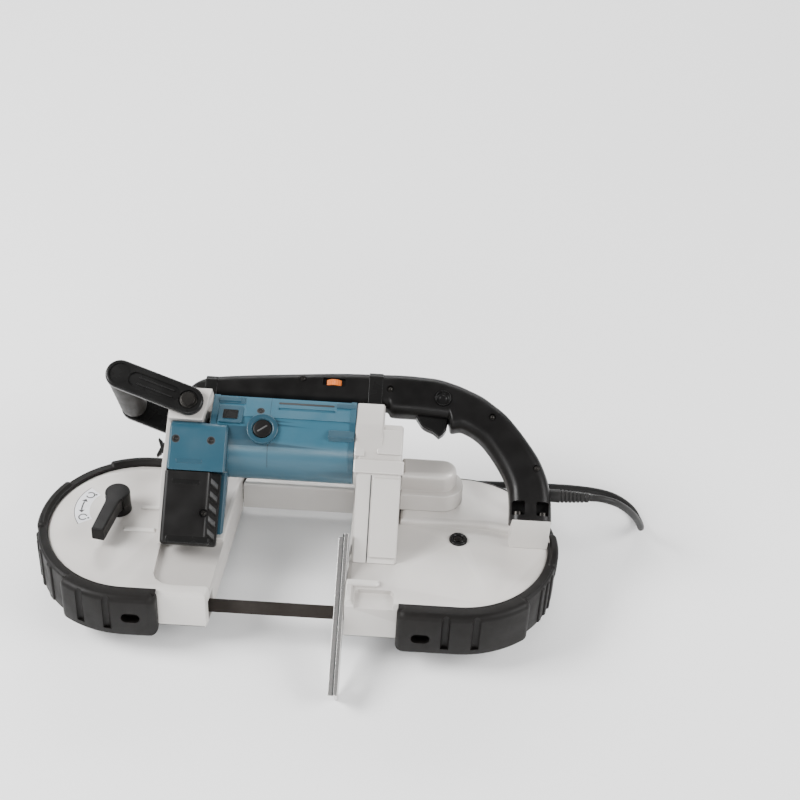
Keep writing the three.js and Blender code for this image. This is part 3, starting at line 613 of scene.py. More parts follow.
def rrect(x0, x1, y0, y1, r, n=6):
    return arc(x1 - r, y1 - r, r, 0, 90, n) + arc(x0 + r, y1 - r, r, 90, 180, n) + arc(x0 + r, y0 + r, r, 180, 270, n) + arc(x1 - r, y0 + r, r, 270, 360, n)


def axis_m(m, p, d, roll=0.0):
    """Local frame at p with its third axis along d, both in the frame m."""
    q = Vector((0, 0, 1)).rotation_difference(Vector(d).normalized())
    return m @ Matrix.Translation(p) @ q.to_matrix().to_4x4() @ Matrix.Rotation(rad(roll), 4, "Z")


screws = [0]


def screw(m4, r=2.7, body="root", well=True, mat=None, h=0.55, hexa=True):
    """A socket head in a shallow well, the well drawn as a dark disc of painted shade. The frame's origin is on the
    surface.
    """
    screws[0] += 1
    i = screws[0]
    if well:
        # painted shade: a dark disc stands for the shade inside the well
        o = lathe("screw_well_%02d" % i, [(0, 0.02), (r + 0.8, 0.02), (r + 1.15, 0.16), (r + 1.5, 0.02), (r + 1.5, -0.6)], M["carbon"], m4, 28)
        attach(o, body)
    o = lathe("screw_head_%02d" % i, [(0, -0.1), (r * 0.42, -0.1), (r * 0.48, h * 0.8), (r * 0.78, h), (r * 0.95, h * 0.7), (r, 0.1), (r, -0.4)], mat or M["dark_steel"], m4, 24 if not hexa else 24)
    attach(o, body)


# ---------------------------------------------------------------- strap round the coil
tie_m = Matrix.Translation((CX / 1000, CYc / 1000, 0)) @ Matrix.Rotation(rad(8), 4, "Z") @ Matrix.Scale(0.001, 4) @ Matrix(((1, 0, 0, 0), (0, 0, -1, 0), (0, 1, 0, 0), (0, 0, 0, 1)))
t_out, t_in = rrect(32.6, 48.6, 0.05, 36.4, 2.0), rrect(33.3, 47.9, 0.22, 35.7, 1.6)
tie = block("coil_tie", t_out + [t_out[0]] + [t_in[0]] + t_in[::-1], -4, 4, M["cord_rubber"], tie_m, 0, 0, 0)

# ---------------------------------------------------------------- bumpers
LC, RC = (-158.0, 4.0), (158.0, 4.0)


def groove(name, cx, cy, r, z0=3, z1=60):
    return cutter(name, circle(cx, cy, r, 24), z0, z1, MT)


def on_arc(c, R, x):
    s = math.sqrt(R * R - (x - c[0]) ** 2)
    return c[1] - s


cl = []
for k, x in enumerate((-199.6, -172.7)):
    y = on_arc(LC, 105, x)
    d = Vector((x - LC[0], y - LC[1])).normalized()
    cl.append(groove("cut_lg%d" % k, x + d.x * 1.1, y + d.y * 1.1, 4.2))
cl.append(cutter("cut_lo", rrect(-159, -141, 13.4, 25.0, 5.6), 92, 130, MT @ Matrix(((1, 0, 0, 0), (0, 0, -1, 0), (0, 1, 0, 0), (0, 0, 0, 1)))))

def sweep(name, inner, outer, z0, z1, ro, rb, ri=0.4, re=2.5, cutters=(), stands_for=()):
    """Rubber with a rounded section strung between two lines of as many points, its ends rounded by re."""
    A, B = np.array(inner, float), np.array(outer, float)
    mid = (A + B) / 2
    sl = np.concatenate([[0], np.cumsum(np.linalg.norm(np.diff(mid, axis=0), axis=1))])
    L_ = sl[-1]
    want = sorted(set([round(re * (1 - math.cos(rad(q))), 3) for q in (0, 18, 36, 54, 72, 90)] + [round(L_ - re * (1 - math.cos(rad(q))), 3) for q in (0, 18, 36, 54, 72, 90)] + [round(v, 3) for v in sl if re < v < L_ - re]))
    V, F, m = [], [], 0
    for d_ in want:
        I = np.array([np.interp(d_, sl, A[:, 0]), np.interp(d_, sl, A[:, 1])])
        O = np.array([np.interp(d_, sl, B[:, 0]), np.interp(d_, sl, B[:, 1])])
        e_ = min(d_, L_ - d_)
        ins = re - math.sqrt(max(0.0, re * re - (re - e_) ** 2)) if e_ < re else 0.0
        W = float(np.linalg.norm(O - I)) - ins
        ex = (O - I) / np.linalg.norm(O - I)
        za, zb = z0 + ins * 0.3, z1 - ins
        a_, b_ = min(ro, W * 0.6), min(rb, W * 0.4)
        loop = [(0, za), (0, zb - ri), (ri, zb)]
        loop += [(W - a_ + a_ * math.sin(rad(t)), zb - a_ + a_ * math.cos(rad(t))) for t in (0, 15, 30, 45, 60, 75, 90)]
        loop += [(W - b_ + b_ * math.cos(rad(t)), za + b_ - b_ * math.sin(rad(t))) for t in (0, 22, 45, 67, 90)]
        m = len(loop)
        for w_, z_ in loop:
            V.append((I[0] + ex[0] * w_, I[1] + ex[1] * w_, z_))
    k = len(want)
    for q in range(k - 1):
        for r_ in range(m):
            F.append((q * m + r_, q * m + (r_ + 1) % m, (q + 1) * m + (r_ + 1) % m, (q + 1) * m + r_))
    F.append(tuple(range(m))[::-1])
    F.append(tuple(range((k - 1) * m, k * m)))
    o = add_mesh(name, V, F, M["rubber"], MT)
    for c in cutters:
        md = o.modifiers.new("cut", "BOOLEAN")
        md.operation = "DIFFERENCE"
        md.solver = "EXACT"
        md.object = c
    e = o.modifiers.new("split", "EDGE_SPLIT")
    e.split_angle = rad(44)
    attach(o, "root")
    if stands_for:
        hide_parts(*stands_for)
    return o


def rim(c, r0, r1, a0, a1, n=60):
    return arc(*c, r0, a0, a1, n), arc(*c, r1, a0, a1, n)


def line(p, q, n=12):
    return [(p[0] + (q[0] - p[0]) * i / n, p[1] + (q[1] - p[1]) * i / n) for i in range(n + 1)]


a_, b_ = rim(LC, 91.4, 104.8, 232, 270, 30)
sweep("left_bumper_block", a_ + line((-158, -87.4), (-126, -87.4))[1:], b_ + line((-158, -100.8), (-126, -100.8))[1:], -5, 45.2, 6.5, 3, 0.4, 7.5, cl, ("left_bumper",))
a_, b_ = rim(LC, 91.4, 98.3, 234, 90, 70)
sweep("left_bumper_rim", a_ + line((-158, 95.4), (-137, 95.4), 6)[1:], b_ + line((-158, 102.3), (-137, 102.3), 6)[1:], -5, 44.3, 3.2, 1.5, 0.4, 0.8)
a_, b_ = rim(LC, 88.2, 96.5, 270, 90, 80)
sweep("left_bumper_lip", line((-127, -84.2), (-158, -84.2), 6)[:-1] + a_ + line((-158, 92.2), (-137, 92.2), 6)[1:], line((-127, -92.5), (-158, -92.5), 6)[:-1] + b_ + line((-158, 100.5), (-137, 100.5), 6)[1:], 42.3, 45.0, 1.2, 0.2, 0.9, 0.6)
a_, b_ = rim(LC, 89.3, 99.3, 189, 146, 26)
sweep("left_bumper_bar", a_, b_, 30, 47.6, 4.6, 3, 3.4, 4.5)
a_, b_ = rim(LC, 88.6, 98.4, 118, 90, 20)
sweep("left_bumper_far", a_ + line((-158, 92.6), (-137, 92.6), 6)[1:], b_ + line((-158, 102.4), (-137, 102.4), 6)[1:], 34, 48.0, 4.5, 2, 3.0, 4.0)
for k, (p0, p1) in enumerate(((190.5, 193.2), (196.5, 200.2), (205, 208.7), (217, 222))):
    a_, b_ = rim(LC, 92, 99.9, p0, p1, 6)
    sweep("left_bumper_rib_%d" % k, a_, b_, -3, 42.5, 3.0, 1, 0.4, 1.6)
cr = []
for k, x in enumerate((148.0, 177.0)):
    y = on_arc(RC, 105, x)
    d = Vector((x - RC[0], y - RC[1])).normalized()
    cr.append(groove("cut_rg%d" % k, x + d.x * 1.1, y + d.y * 1.1, 4.2))
cr.append(cutter("cut_ro", rrect(115.5, 133.5, 9.2, 20.8, 5.6), 92, 130, MT @ Matrix(((1, 0, 0, 0), (0, 0, -1, 0), (0, 1, 0, 0), (0, 0, 0, 1)))))
a_, b_ = rim(RC, 91.4, 104.8, -46, -90, 30)
sweep("right_bumper_block", a_ + line((158, -87.4), (101, -87.4))[1:], b_ + line((158, -100.8), (101, -100.8))[1:], -5, 45.2, 6.5, 3, 0.4, 7.5, cr, ("right_bumper",))
a_, b_ = rim(RC, 91.4, 98.3, -48, 90, 70)
sweep("right_bumper_rim", a_ + line((158, 95.4), (150, 95.4), 3)[1:], b_ + line((158, 102.3), (150, 102.3), 3)[1:], -5, 44.3, 3.2, 1.5, 0.4, 0.8)
a_, b_ = rim(RC, 88.2, 96.5, 12, -90, 60)
sweep("right_bumper_lip", a_ + line((158, -84.2), (102, -84.2), 8)[1:], b_ + line((158, -92.5), (102, -92.5), 8)[1:], 42.3, 45.0, 1.2, 0.2, 0.9, 0.6)
a_, b_ = rim(RC, 89.3, 99.3, -17, 12, 22)
sweep("right_bumper_bar", a_, b_, 28, 47.0, 4.6, 3, 3.4, 4.5)
for k, (p0, p1) in enumerate(((-35, -31.5), (-28.5, -25.5), (-22.5, -19.8))):
    a_, b_ = rim(RC, 92, 99.9, p0, p1, 6)
    sweep("right_bumper_rib_%d" % k, a_, b_, -3, 42.0, 3.0, 1, 0.4, 1.6)

# ---------------------------------------------------------------- handle
h_pairs = [((-119.3, 212), (-116.5, 208.6)), ((-117.9, 216), (-114, 206.9)), ((-111.7, 222), (-110, 206.2)), ((-102.9, 227.1), (-103, 205.9)), ((-91.8, 230), (-92, 205.7)), ((-68.4, 232.8), (-68, 205.7)),
           ((-38, 235.6), (-38, 205.8)), ((-7.2, 238.2), (-7, 205.9)), ((30.4, 241.1), (30.4, 206)), ((59.1, 242.2), (59, 207.1)), ((78, 242.8), (77, 207.8)), ((83, 242.9), (81, 206.6)),
           ((87, 243.1), (84.5, 202.6)), ((100, 243.1), (100, 202.2)), ((114, 242.5), (112, 202)), ((127.4, 241.6), (125, 201)), ((137, 239.6), (136.5, 200.3)), ((142, 238.2), (141, 199.6)),
           ((146, 237), (142.8, 195)), ((149.5, 236), (144.2, 190.2)), ((154, 234.3), (147.5, 189.6)), ((162, 231), (154.1, 191)), ((174.4, 225.4), (160.5, 188.8)), ((186, 217.6), (165.9, 186)),
           ((198.4, 208.2), (172.5, 181.4)), ((209, 196.8), (178, 176.2)), ((218.5, 184.9), (184.5, 168.3)), ((227, 173.2), (190.6, 159.6)), ((233.8, 162.3), (195, 152.6)), ((238.5, 152), (198.5, 146.2)),
           ((242.2, 141.9), (201.6, 139.6)), ((244.5, 132), (204.1, 132.2)), ((245.8, 123.3), (205.2, 124)), ((246.6, 111), (205.75, 112)), ((247.1, 99.2), (205.8, 99.2))]


def shell(name, s_, stands_for, cutters):
    """One half of the handle: rounded sections strung along the two outlines, s_ the side it lies on."""
    sect = []
    P = [np.array(a + b, float) for a, b in h_pairs]
    P = [2 * P[0] - P[1]] + P + [2 * P[-1] - P[-2]]
    st = []
    for i in range(1, len(P) - 2):
        a, b, c, d = P[i - 1:i + 3]
        for j in range(4):
            u = j / 4
            st.append(0.5 * (2 * b + (c - a) * u + (2 * a - 5 * b + 4 * c - d) * u * u + (3 * b - a - 3 * c + d) * u ** 3))
    st.append(P[-2])
    V, F, m = [], [], 0
    for k, q in enumerate(st):
        O, I = q[:2], q[2:]
        W = float(np.linalg.norm(O - I))
        e = (O - I) / W
        top = 16.9 if W > 16 else 16.9 - (16 - W) * 0.28
        r = min(10.5, W * 0.42)
        loop = [(0, 0.12), (0, top - r)]
        loop += [(r - r * math.cos(rad(t)), top - r + r * math.sin(rad(t))) for t in (12, 26, 40, 54, 68, 80)] + [(r, top), (W * 0.5, top + 0.0), (W - r, top)]
        loop += [(W - r + r * math.sin(rad(t)), top - r + r * math.cos(rad(t))) for t in (12, 26, 40, 54, 68, 80)] + [(W, top - r), (W, 0.12)]
        m = len(loop)
        for w_, n_v in loop:
            p = I + e * w_
            V.append((p[0], p[1], s_ * n_v))
    for k in range(len(st) - 1):
        for j in range(m):
            F.append((k * m + j, k * m + (j + 1) % m, (k + 1) * m + (j + 1) % m, (k + 1) * m + j))
    F.append(tuple(range(m))[::-1])
    F.append(tuple(range((len(st) - 1) * m, len(st) * m)))
    o = add_mesh(name, V, F, M["black_plastic"], MH)
    for c in cutters:
        md = o.modifiers.new("cut", "BOOLEAN")
        md.operation = "DIFFERENCE"
        md.solver = "EXACT"
        md.object = c
    e = o.modifiers.new("split", "EDGE_SPLIT")
    e.split_angle = rad(42)
    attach(o, "root")
    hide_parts(stands_for)
    return o


hb = [cutter("cut_bolt0", rrect(207.4, 219.9, 103.8, 118, 2.0), 6.5, 22, MH), cutter("cut_bolt1", rrect(231, 243.4, 103.8, 118, 2.0), 6.5, 22, MH),
      cutter("cut_lock", circle(134.8, 218.4, 8.5, 36), 11.2, 22, MH), cutter("cut_dial", rrect(13.5, 36.7, 225.0, 233.2, 1.5), 13.2, 22, MH),
      cutter("cut_well", rect(111, 142, 186, 236), -8.4, 8.4, MH)]
hs = [cutter("cut_hs%d" % k, circle(x, v, 3.6, 24), 14.8, 22, MH) for k, (x, v) in enumerate(((-6.3, 230.9), (81.6, 225.2), (184.7, 202.1), (230.2, 152)))]
shell("handle_front", 1, "handle_shell_front", hb + hs)
shell("handle_rear", -1, "handle_shell_rear", [hb[4]])
for k, (x, v) in enumerate(((-6.3, 230.9), (81.6, 225.2), (184.7, 202.1), (230.2, 152))):
    screw(at(MH, x, v, 15.0), 2.9, well=False)
for k, (x0, x1, v0, v1) in enumerate(((-103, -91, 204.9, 229.6), (60, 74, 206.0, 242.9))):
    block("handle_band_%d" % k, [(v0, -17.2), (v0, 17.2), (v1 - 5.5, 17.2), (v1, 11.5), (v1, -11.5), (v1 - 5.5, -17.2)], x0, x1, M["black_gloss"], at(MH, 0, 0, 0, "x"), 0.7, 0.7, 2.0, 3)
for nm, x in (("left", 213.5), ("right", 237.4)):
    o = lathe("foot_bolt_" + nm, [(0, 0), (2.5, 0), (2.5, 6.8), (4.3, 6.9), (4.6, 7.3), (4.6, 11.0), (4.0, 11.5), (2.2, 11.5), (2.0, 9.2), (0, 9.2)], M["dark_steel"], axis_m(MH, (x, 97, 9.5), (0, 1, 0)), 28)
    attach(o, "root")
    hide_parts("handle_bolt_" + nm)
lock = lathe("lock_button_ring", [(0, 15.4), (3.0, 15.4), (3.6, 15.9), (5.6, 15.9), (6.8, 17.4), (7.2, 18.4), (7.7, 18.5), (8.0, 17.6), (8.0, 14)], M["black_gloss"], at(MH, 134.8, 218.4, 0), 40)
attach(lock, "lock_button")
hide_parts("lock_button")
# dial with ribs, standing a little out of its window
dp = []
for i in range(72):
    r = 8.7 - (0.5 if i % 3 == 0 else 0)
    dp.append((25.1 + r * math.cos(rad(i * 5)), 9.3 + r * math.sin(rad(i * 5))))
VMAT = MH @ Matrix(((1, 0, 0, 0), (0, 0, 1, 0), (0, 1, 0, 0), (0, 0, 0, 1)))
# the speed dial's wheel, in the plane of X and n
d_o = block("dial_wheel", dp, 225.4, 231.6, M["dial_orange"], VMAT, 0.6, 0.6, 0, 3, body="speed_dial", stands_for=("speed_dial",))
# trigger with a finger hollow
tr_poly = spline([(109, 201), (112, 196.5), (116, 191.5), (121.5, 188.6), (127, 186.5), (132.7, 181.8)], 2) + spline([(136.5, 184.5), (140, 190), (141.2, 200)], 2) + [(141.2, 215), (109, 215)]
block("trigger_lever", tr_poly, -6.5, 6.5, M["black_gloss"], MH, 1.8, 1.8, 0.4, 4, body="trigger", stands_for=("trigger",))

# ---------------------------------------------------------------- front handle
ang = math.degrees(math.atan2(22.8, -69.1))
def stad(r, d=0.0):
    ex = Vector((-182 + 112.9, 211.4 - 188.6)).normalized() * d
    return arc(-182 - ex.x, 211.4 - ex.y, r, ang - 90, ang + 90, 18) + arc(-112.9 + ex.x, 188.6 + ex.y, r, ang + 90, ang + 270, 18)
chan = cutter("cut_chan", stad(7.6, 17), 52.4, 60, MH)
chan2 = cutter("cut_piv", circle(-112.9, 188.6, 9.6, 36), 52.9, 60, MH)
chan3 = cutter("cut_end", circle(-182, 211.4, 10.6, 36), 53.2, 60, MH)
block("bail_near_arm", stad(14.5), 46.9, 54.3, M["black_gloss"], MH, 1.5, 2.6, 0, 5, [chan, chan2, chan3], body="front_handle", stands_for=("front_handle",))
block("bail_far_arm", stad(14.1), -54.3, -47.1, M["black_gloss"], MH, 2.6, 2.0, 0, 5, [], body="front_handle")
g = lathe("bail_grip", [(0, -49), (11.2, -49), (12.2, -46), (13.4, -40)] + [(13.4 + (0.35 if k % 2 else 0), -38 + 76 * k / 12) for k in range(13)] + [(13.4, 40), (12.2, 46), (11.2, 49), (0, 49)], M["grip_rubber"], at(MH, -182, 211.4, 0), 44)
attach(g, "front_handle")
for k, off in enumerate((-3.4, 3.4)):
    a_ = rad(ang)
    nx, ny = -math.sin(a_), math.cos(a_)
    ux, uy = math.cos(a_), math.sin(a_)
    s0, s1 = 16.0, 53.0
    q = [(-112.9 + ux * s + nx * (off + w), 188.6 + uy * s + ny * (off + w)) for s, w in ((s0, -0.7), (s1, -0.7), (s1, 0.7), (s0, 0.7))]
    block("bail_rib_%d" % k, q, 51.5, 54.0, M["black_gloss"], MH, 0, 0.4, 0.3, 2, body="front_handle")
for s_, n0 in ((1, 53.0), (-1, -53.0)):
    m4 = axis_m(MH, (-112.9, 188.6, n0), (0, 0, s_))
    o = lathe("bail_pivot_%s" % ("a" if s_ > 0 else "b"), [(0, 1.6), (1.9, 1.6), (2.2, 3.6), (4.6, 3.6), (5.6, 3.0), (6.0, 1.0), (8.2, 0.8), (8.6, 0.2), (8.6, -0.4)], M["dark_steel"], m4, 36)
    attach(o, "root")

# ---------------------------------------------------------------- tension lever
lv = []
c0, c1 = Vector((-182, 25)), Vector((-190.5, -26))
d = (c1 - c0)
L = d.length
u = d / L
n_ = Vector((-u.y, u.x))
arm = [c0 + n_ * 9.8, c0 + u * 9 + n_ * 8.6, c0 + u * 17 + n_ * 6.9, c1 + u * 5.5 + n_ * 6.2, c1 + u * 5.5 - n_ * 6.2, c0 + u * 17 - n_ * 6.9, c0 + u * 9 - n_ * 8.6, c0 - n_ * 9.8]
hub_a = [(c0.x + 12.4 * math.cos(rad(q)), c0.y + 12.4 * math.sin(rad(q))) for q in np.linspace(math.degrees(math.atan2(-n_.y, -n_.x)) + 10, math.degrees(math.atan2(-n_.y, -n_.x)) + 170, 20)]
poly = [tuple(a) for a in arm[1:-1]]
A0 = math.degrees(math.atan2(arm[-2].y - c0.y, arm[-2].x - c0.x))
A1 = math.degrees(math.atan2(arm[1].y - c0.y, arm[1].x - c0.x))
if A0 < A1:
    A0 += 360
poly += [(c0.x + 12.4 * math.cos(rad(q)), c0.y + 12.4 * math.sin(rad(q))) for q in np.linspace(A0, A1, 30)][0:]
block("lever_arm", poly, 52.2, 66.3, M["black_plastic"], MT, 0.8, 1.9, 1.0, 4, body="tension_lever", stands_for=("tension_lever",))
o = lathe("lever_hub", [(0, 42.5), (12.9, 42.5), (12.6, 46), (12.2, 53), (0, 53)], M["black_plastic"], at(MT, -182, 25, 0), 44)
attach(o, "tension_lever")

# ---------------------------------------------------------------- label beside the lever: an arc with a two-way arrow and two rings
def flat(name, poly, z, h, mat, m4, body="root"):
    n = len(poly)
    v = [(x, y, z) for x, y in poly] + [(x, y, z + h) for x, y in poly]
    f = [tuple(range(n))[::-1], tuple(range(n, 2 * n))] + [(i, (i + 1) % n, n + (i + 1) % n, n + i) for i in range(n)]
    o = add_mesh(name, v, f, mat, m4, smooth=False)
    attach(o, body)
    return o


def band(cx, cy, r0, r1, a0, a1, n=24):
    return arc(cx, cy, r1, a0, a1, n) + arc(cx, cy, r0, a1, a0, n)


ZL = 42.02
flat("label_plate", band(-182, 25, 29, 43.5, 139, 215, 40), ZL, 0.10, M["label_plate"], MT)
flat("label_edge", band(-182, 25, 43.5, 44.2, 139, 215, 40), ZL, 0.16, M["label_ink"], MT)
flat("label_arrow", band(-182, 25, 36.0, 37.6, 168, 187, 14), ZL + 0.1, 0.08, M["label_ink"], MT)
for k, (a_, s_) in enumerate(((166, -1), (189, 1))):
    tip = (a_ + s_ * 4.5)
    P3 = [(-182 + 36.8 * math.cos(rad(tip)), 25 + 36.8 * math.sin(rad(tip))), (-182 + 33.6 * math.cos(rad(a_ - s_ * 1.5)), 25 + 33.6 * math.sin(rad(a_ - s_ * 1.5))), (-182 + 40 * math.cos(rad(a_ - s_ * 1.5)), 25 + 40 * math.sin(rad(a_ - s_ * 1.5)))]
    flat("label_tip_%d" % k, P3, ZL + 0.1, 0.08, M["label_ink"], MT)
for k, a_ in enumerate((151, 204)):
    qx, qy = -182 + 36.4 * math.cos(rad(a_)), 25 + 36.4 * math.sin(rad(a_))
    flat("label_ring_%d" % k, band(qx, qy, 3.2, 4.6, 25 if k else 200, 335 if k else 500, 28), ZL + 0.1, 0.08, M["label_ink"], MT)
    flat("label_dot_%d" % k, circle(qx + 5.6, qy + 1.0 - 2 * k, 1.1, 14), ZL + 0.1, 0.08, M["label_ink"], MT)

# ---------------------------------------------------------------- motor: seams, pads, switch, screws
def m_contour(off):
    a = [(204.5 + off, -28), (204.5 + off, 26 + off * .4), (181 + off * .4, 36.5 + off)]
    return a + [(168 + (38 + off) * math.sin(rad(q)), (38 + off) * math.cos(rad(q))) for q in np.linspace(16, -60, 26)]


def seam(name, x0, x1, off, mat):
    poly = m_contour(off) + m_contour(-0.8)[::-1]
    o = add_mesh(name, [(a, b_, x0) for a, b_ in poly] + [(a, b_, x1) for a, b_ in poly],
                 [tuple(range(len(poly)))[::-1], tuple(range(len(poly), 2 * len(poly)))] + [(i, (i + 1) % len(poly), len(poly) + (i + 1) % len(poly), len(poly) + i) for i in range(len(poly))], mat, at(MH, 0, 0, 0, "x"))
    finish_edges(o, 0.25, 2, 50)
    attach(o, "root")


seam("motor_seam_line", -34.6, -34.0, 0.06, M["carbon"])
seam("motor_band_left", -91.4, -85.5, 0.8, M["motor_blue"])
seam("motor_band_right", 44.5, 49.9, 0.8, M["motor_blue"])
# slope of the upper facet, in (v, n)
SN = Vector((0, 10.5, 23.5)).normalized()


def slope(x, v, off=0.0):
    n = 36.5 - (v - 181) / 23.5 * 10.5
    return (x, v + SN.y * off, n + SN.z * off)


SM = MH @ Matrix.Translation((0, 181, 36.5)) @ Matrix(((1, 0, 0, 0), (0, 23.5 / 25.74, 10.5 / 25.74, 0), (0, -10.5 / 25.74, 23.5 / 25.74, 0), (0, 0, 0, 1)))
# SM: local y runs up the facet, local z stands out of it
block("motor_pad_left", rrect(-86, -60, 15.5, 24.0, 1.5), -0.4, 1.1, M["motor_blue"], SM, 0, 0.6, 0, 3)
block("motor_pad_left_low", rrect(-86, -64, 17.5, 22.0, 1.0), 1.0, 1.9, M["motor_blue"], SM, 0, 0.4, 0, 3)
block("motor_pad_right", rrect(30, 49.5, 17.0, 23.0, 1.2), -0.4, 1.3, M["motor_blue"], SM, 0, 0.6, 0, 3)
# painted shade: a thin dark sheet stands for the shade inside the slot
block("motor_slot_shade", rrect(-27, 28, 18.3, 21.0, 1.2), -0.3, 0.08, M["carbon"], SM, 0, 0, 0, 2)
block("switch_frame", rrect(-84.5, -60.5, -9.0, 12.5, 2.5), -1.5, 0.75, M["motor_blue"], SM, 0, 0.5, 0, 3)
block("switch_rocker", rrect(-80, -65.5, -5.0, 6.5, 0.8), 0.2, 1.7, M["black_gloss"], SM, 0, 0.5, 0, 3)
screw(SM @ Matrix.Translation((-43.8, 8.2, 0.1)), 2.5)
block("motor_pad_low", rrect(24, 49.5, -19.5, -10.5, 1.4), -6.0, 0.4, M["motor_blue"], SM @ Matrix.Translation((0, 0, -1.6)), 0, 0.6, 0, 3)
# ring and cap of the brush holder
for s_, nm in ((1, "front"), (-1, "rear")):
    m4 = axis_m(MH, (-40.2, 168, 0), (0, 0, s_))
    o = lathe("brush_ring_%s" % nm, [(10.0, 39.0), (10.4, 40.6), (11.2, 41.0), (14.6, 41.0), (15.3, 40.4), (15.4, 38.0)], M["motor_blue"], m4, 48)
    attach(o, "root")
    o = lathe("brush_plug_%s" % nm, [(0, 41.3), (7.2, 41.3), (8.6, 40.9), (9.3, 40.0), (9.5, 38.0)], M["black_plastic"], m4, 40)
    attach(o, "root")
    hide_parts("brush_cap_" + nm)
    # painted shade: a thin dark sheet stands for the shade inside the cap's slot
    o = block("brush_slot_%s" % nm, rect(-5.6, 5.6, -0.8, 0.8), 41.2, 41.42, M["carbon"], m4 @ Matrix.Rotation(rad(35), 4, "Z"), 0, 0, 0, 2)

# ---------------------------------------------------------------- covers on the left of the motor
# plane of the front faces: local x along X, local y down the cover, local z out of it
UY, UZ, NY, NZ = -.7264, -.6873, .6873, -.7264
CM = MT @ Matrix(((1, 0, 0, 0), (0, UY, -NY, 42), (0, UZ, -NZ, 138.5), (0, 0, 0, 1)))
screw(CM @ Matrix.Translation((-122.8, 11.0, 0.05)), 2.6)
screw(CM @ Matrix.Translation((-88.5, 11.0, 0.05)), 2.6)
block("cover_plaque", rrect(-121, -96, 30.0, 34.2, 1.2), -0.2, 0.4, M["motor_blue"], CM, 0, 0.35, 0, 3)
vcut = [cutter("cut_vs", circle(-90.5, 81.5, 4.3, 32), -3.5, 5, CM)]
LM = CM @ Matrix(((1, 0, 0, 0), (0, 0, 1, 0), (0, 1, 0, 0), (0, 0, 0, 1)))
# section across the cover: front face, and a sloping side that carries the vents
block("vent_cover_shell", [(-131, -21.5), (-131, -4.2), (-130.4, -2.1), (-129.0, -0.8), (-126.8, -0.3), (-90.5, -0.3), (-88.2, -0.9), (-86.8, -2.4), (-78.8, -14.2), (-78.1, -16.0), (-78, -21.5)],
      41.8, 113, M["black_plastic"], LM, 0.6, 3.2, 0, 5, vcut, stands_for=("vent_cover",))
block("vent_cover_plaque", rrect(-123, -96, 50, 54.6, 1.2), -0.6, 0.05, M["black_gloss"], CM, 0, 0.3, 0, 3)
block("vent_cover_toe", rrect(-126, -83, 104.2, 112.0, 3.0), -16.0, 0.25, M["black_gloss"], CM, 0, 1.6, 0, 4)
screw(CM @ Matrix.Translation((-90.5, 81.5, -3.4)), 2.6, well=False)
SL = CM @ Matrix(((.5611, 0, .8277, -86.8), (0, 1, 0, 0), (-.8277, 0, .5611, -2.4), (0, 0, 0, 1)))
for k in range(5):
    y0 = 47 + 12.2 * k
    # painted shade: dark sheets between the fins stand for the shade inside the vent openings
    block("vent_slit_%d" % k, [(1.6, y0), (1.6, y0 + 5.2), (12.6, y0 + 10.4), (12.6, y0 + 5.2)], -0.6, 0.07, M["carbon"], SL, 0, 0, 0, 2)
    block("vent_fin_%d" % k, [(1.4, y0 + 5.4), (1.4, y0 + 6.7), (12.8, y0 + 11.9), (12.8, y0 + 10.6)], -0.6, 0.75, M["black_plastic"], SL, 0, 0.3, 0.2, 2)

# ---------------------------------------------------------------- gear housing: flange, lugs, slit
block("arm_slit", [(-30.6, 42.7), (18.3, 112.7), (18.1, 112.8), (-30.8, 42.8)], 68.0, 69.1, M["carbon"], at(MT, 0, 0, 0, "x"), 0, 0, 0, 2)


def on_face(p, q, s0, s1, h):
    """A plate from s0 to s1 (mm) along the line p to q in (Y, Z), standing h off it."""
    p, q = Vector(p), Vector(q)
    u = (q - p).normalized()
    n = Vector((-u.y, u.x))
    return [tuple(p + u * s0 - n * 1.5), tuple(p + u * s1 - n * 1.5), tuple(p + u * s1 + n * h), tuple(p + u * s0 + n * h)]


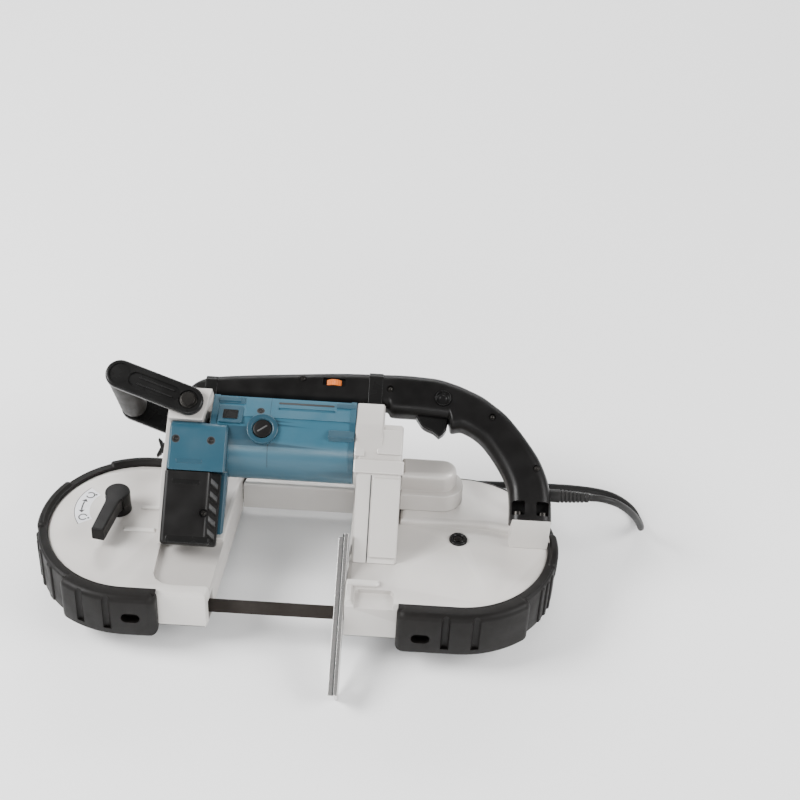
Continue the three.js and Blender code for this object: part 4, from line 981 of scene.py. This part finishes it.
XT = at(MT, 0, 0, 0, "x")
F1, F2, F3 = (-31, 42.3), (18.5, 113), (61.1, 141.8)
block("arm_raised", on_face(F1, F2, 6, 84, 2.4), 70.2, 97.4, M["casting"], XT, 1.3, 1.3, 1.3, 4)
block("arm_lug", on_face(F2, F3, 1.0, 14.5, 3.0), 50.6, 99.6, M["casting"], XT, 1.4, 1.4, 1.4, 4)
# painted shade: a thin dark sheet stands for the shade inside the lug's slot
block("arm_lug_slot", on_face(F2, F3, 4.5, 11.5, 1.2), 99.4, 99.9, M["carbon"], XT, 0, 0, 0, 2)
block("arm_collar", on_face(F2, F3, 18.0, 49.5, 1.6), 50.5, 60.5, M["casting"], XT, 1.2, 1.2, 1.0, 4)
block("arm_upper", on_face(F2, F3, 21.0, 46.0, 1.9), 72.5, 96.8, M["casting"], XT, 1.2, 1.2, 1.2, 4)
block("post_plate", [(4.8, 42.2), (2.5, 80.3), (1.7, 80.3), (4.0, 42.2)], 208.1, 245.9, M["casting"], XT, 0.3, 0.3, 0, 2)
# lips on the stop plate: its flange is folded, with a groove between the folds
NM = MH @ Matrix.Translation((0, 0, 20.0))
# painted shade: a thin dark sheet stands for the shade in the groove
block("stop_groove", rect(44.9, 46.3, -81.5, 73.5), -0.2, 0.05, M["carbon"], NM, 0, 0, 0, 2, body="work_stop")
block("stop_fold", rect(46.3, 50.1, -81.8, 73.8), -0.3, 0.35, M["bright_steel"], NM, 0, 0.25, 0, 2, body="work_stop")

# ---------------------------------------------------------------- bolt in the grommet
m4 = at(MT, 158, 10, 0)
o = lathe("seal_ring", [(4.6, 42.2), (5.0, 43.9), (6.0, 44.6), (8.2, 44.4), (9.0, 43.4), (9.2, 42.1)], M["black_gloss"], m4, 44)
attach(o, "root")
o = block("seal_bolt", circle(0, 0, 4.2, 6), 41.0, 43.7, M["dark_steel"], m4, 0, 0.5, 0, 2)
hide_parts("shaft_seal")

# ---------------------------------------------------------------- cord clip at the gland
cm = at(MT, 0, BY + SU * 129.5, BZ + CU * 129.5, "x")
o = lathe("gland_collar", [(6.6, 228.2), (8.4, 228.4), (8.8, 229.4), (8.8, 234), (8.2, 235), (6.6, 235.2)], M["black_gloss"], cm, 36)
o.data.transform(Matrix.Translation((0, 0, 0)))
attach(o, "root")
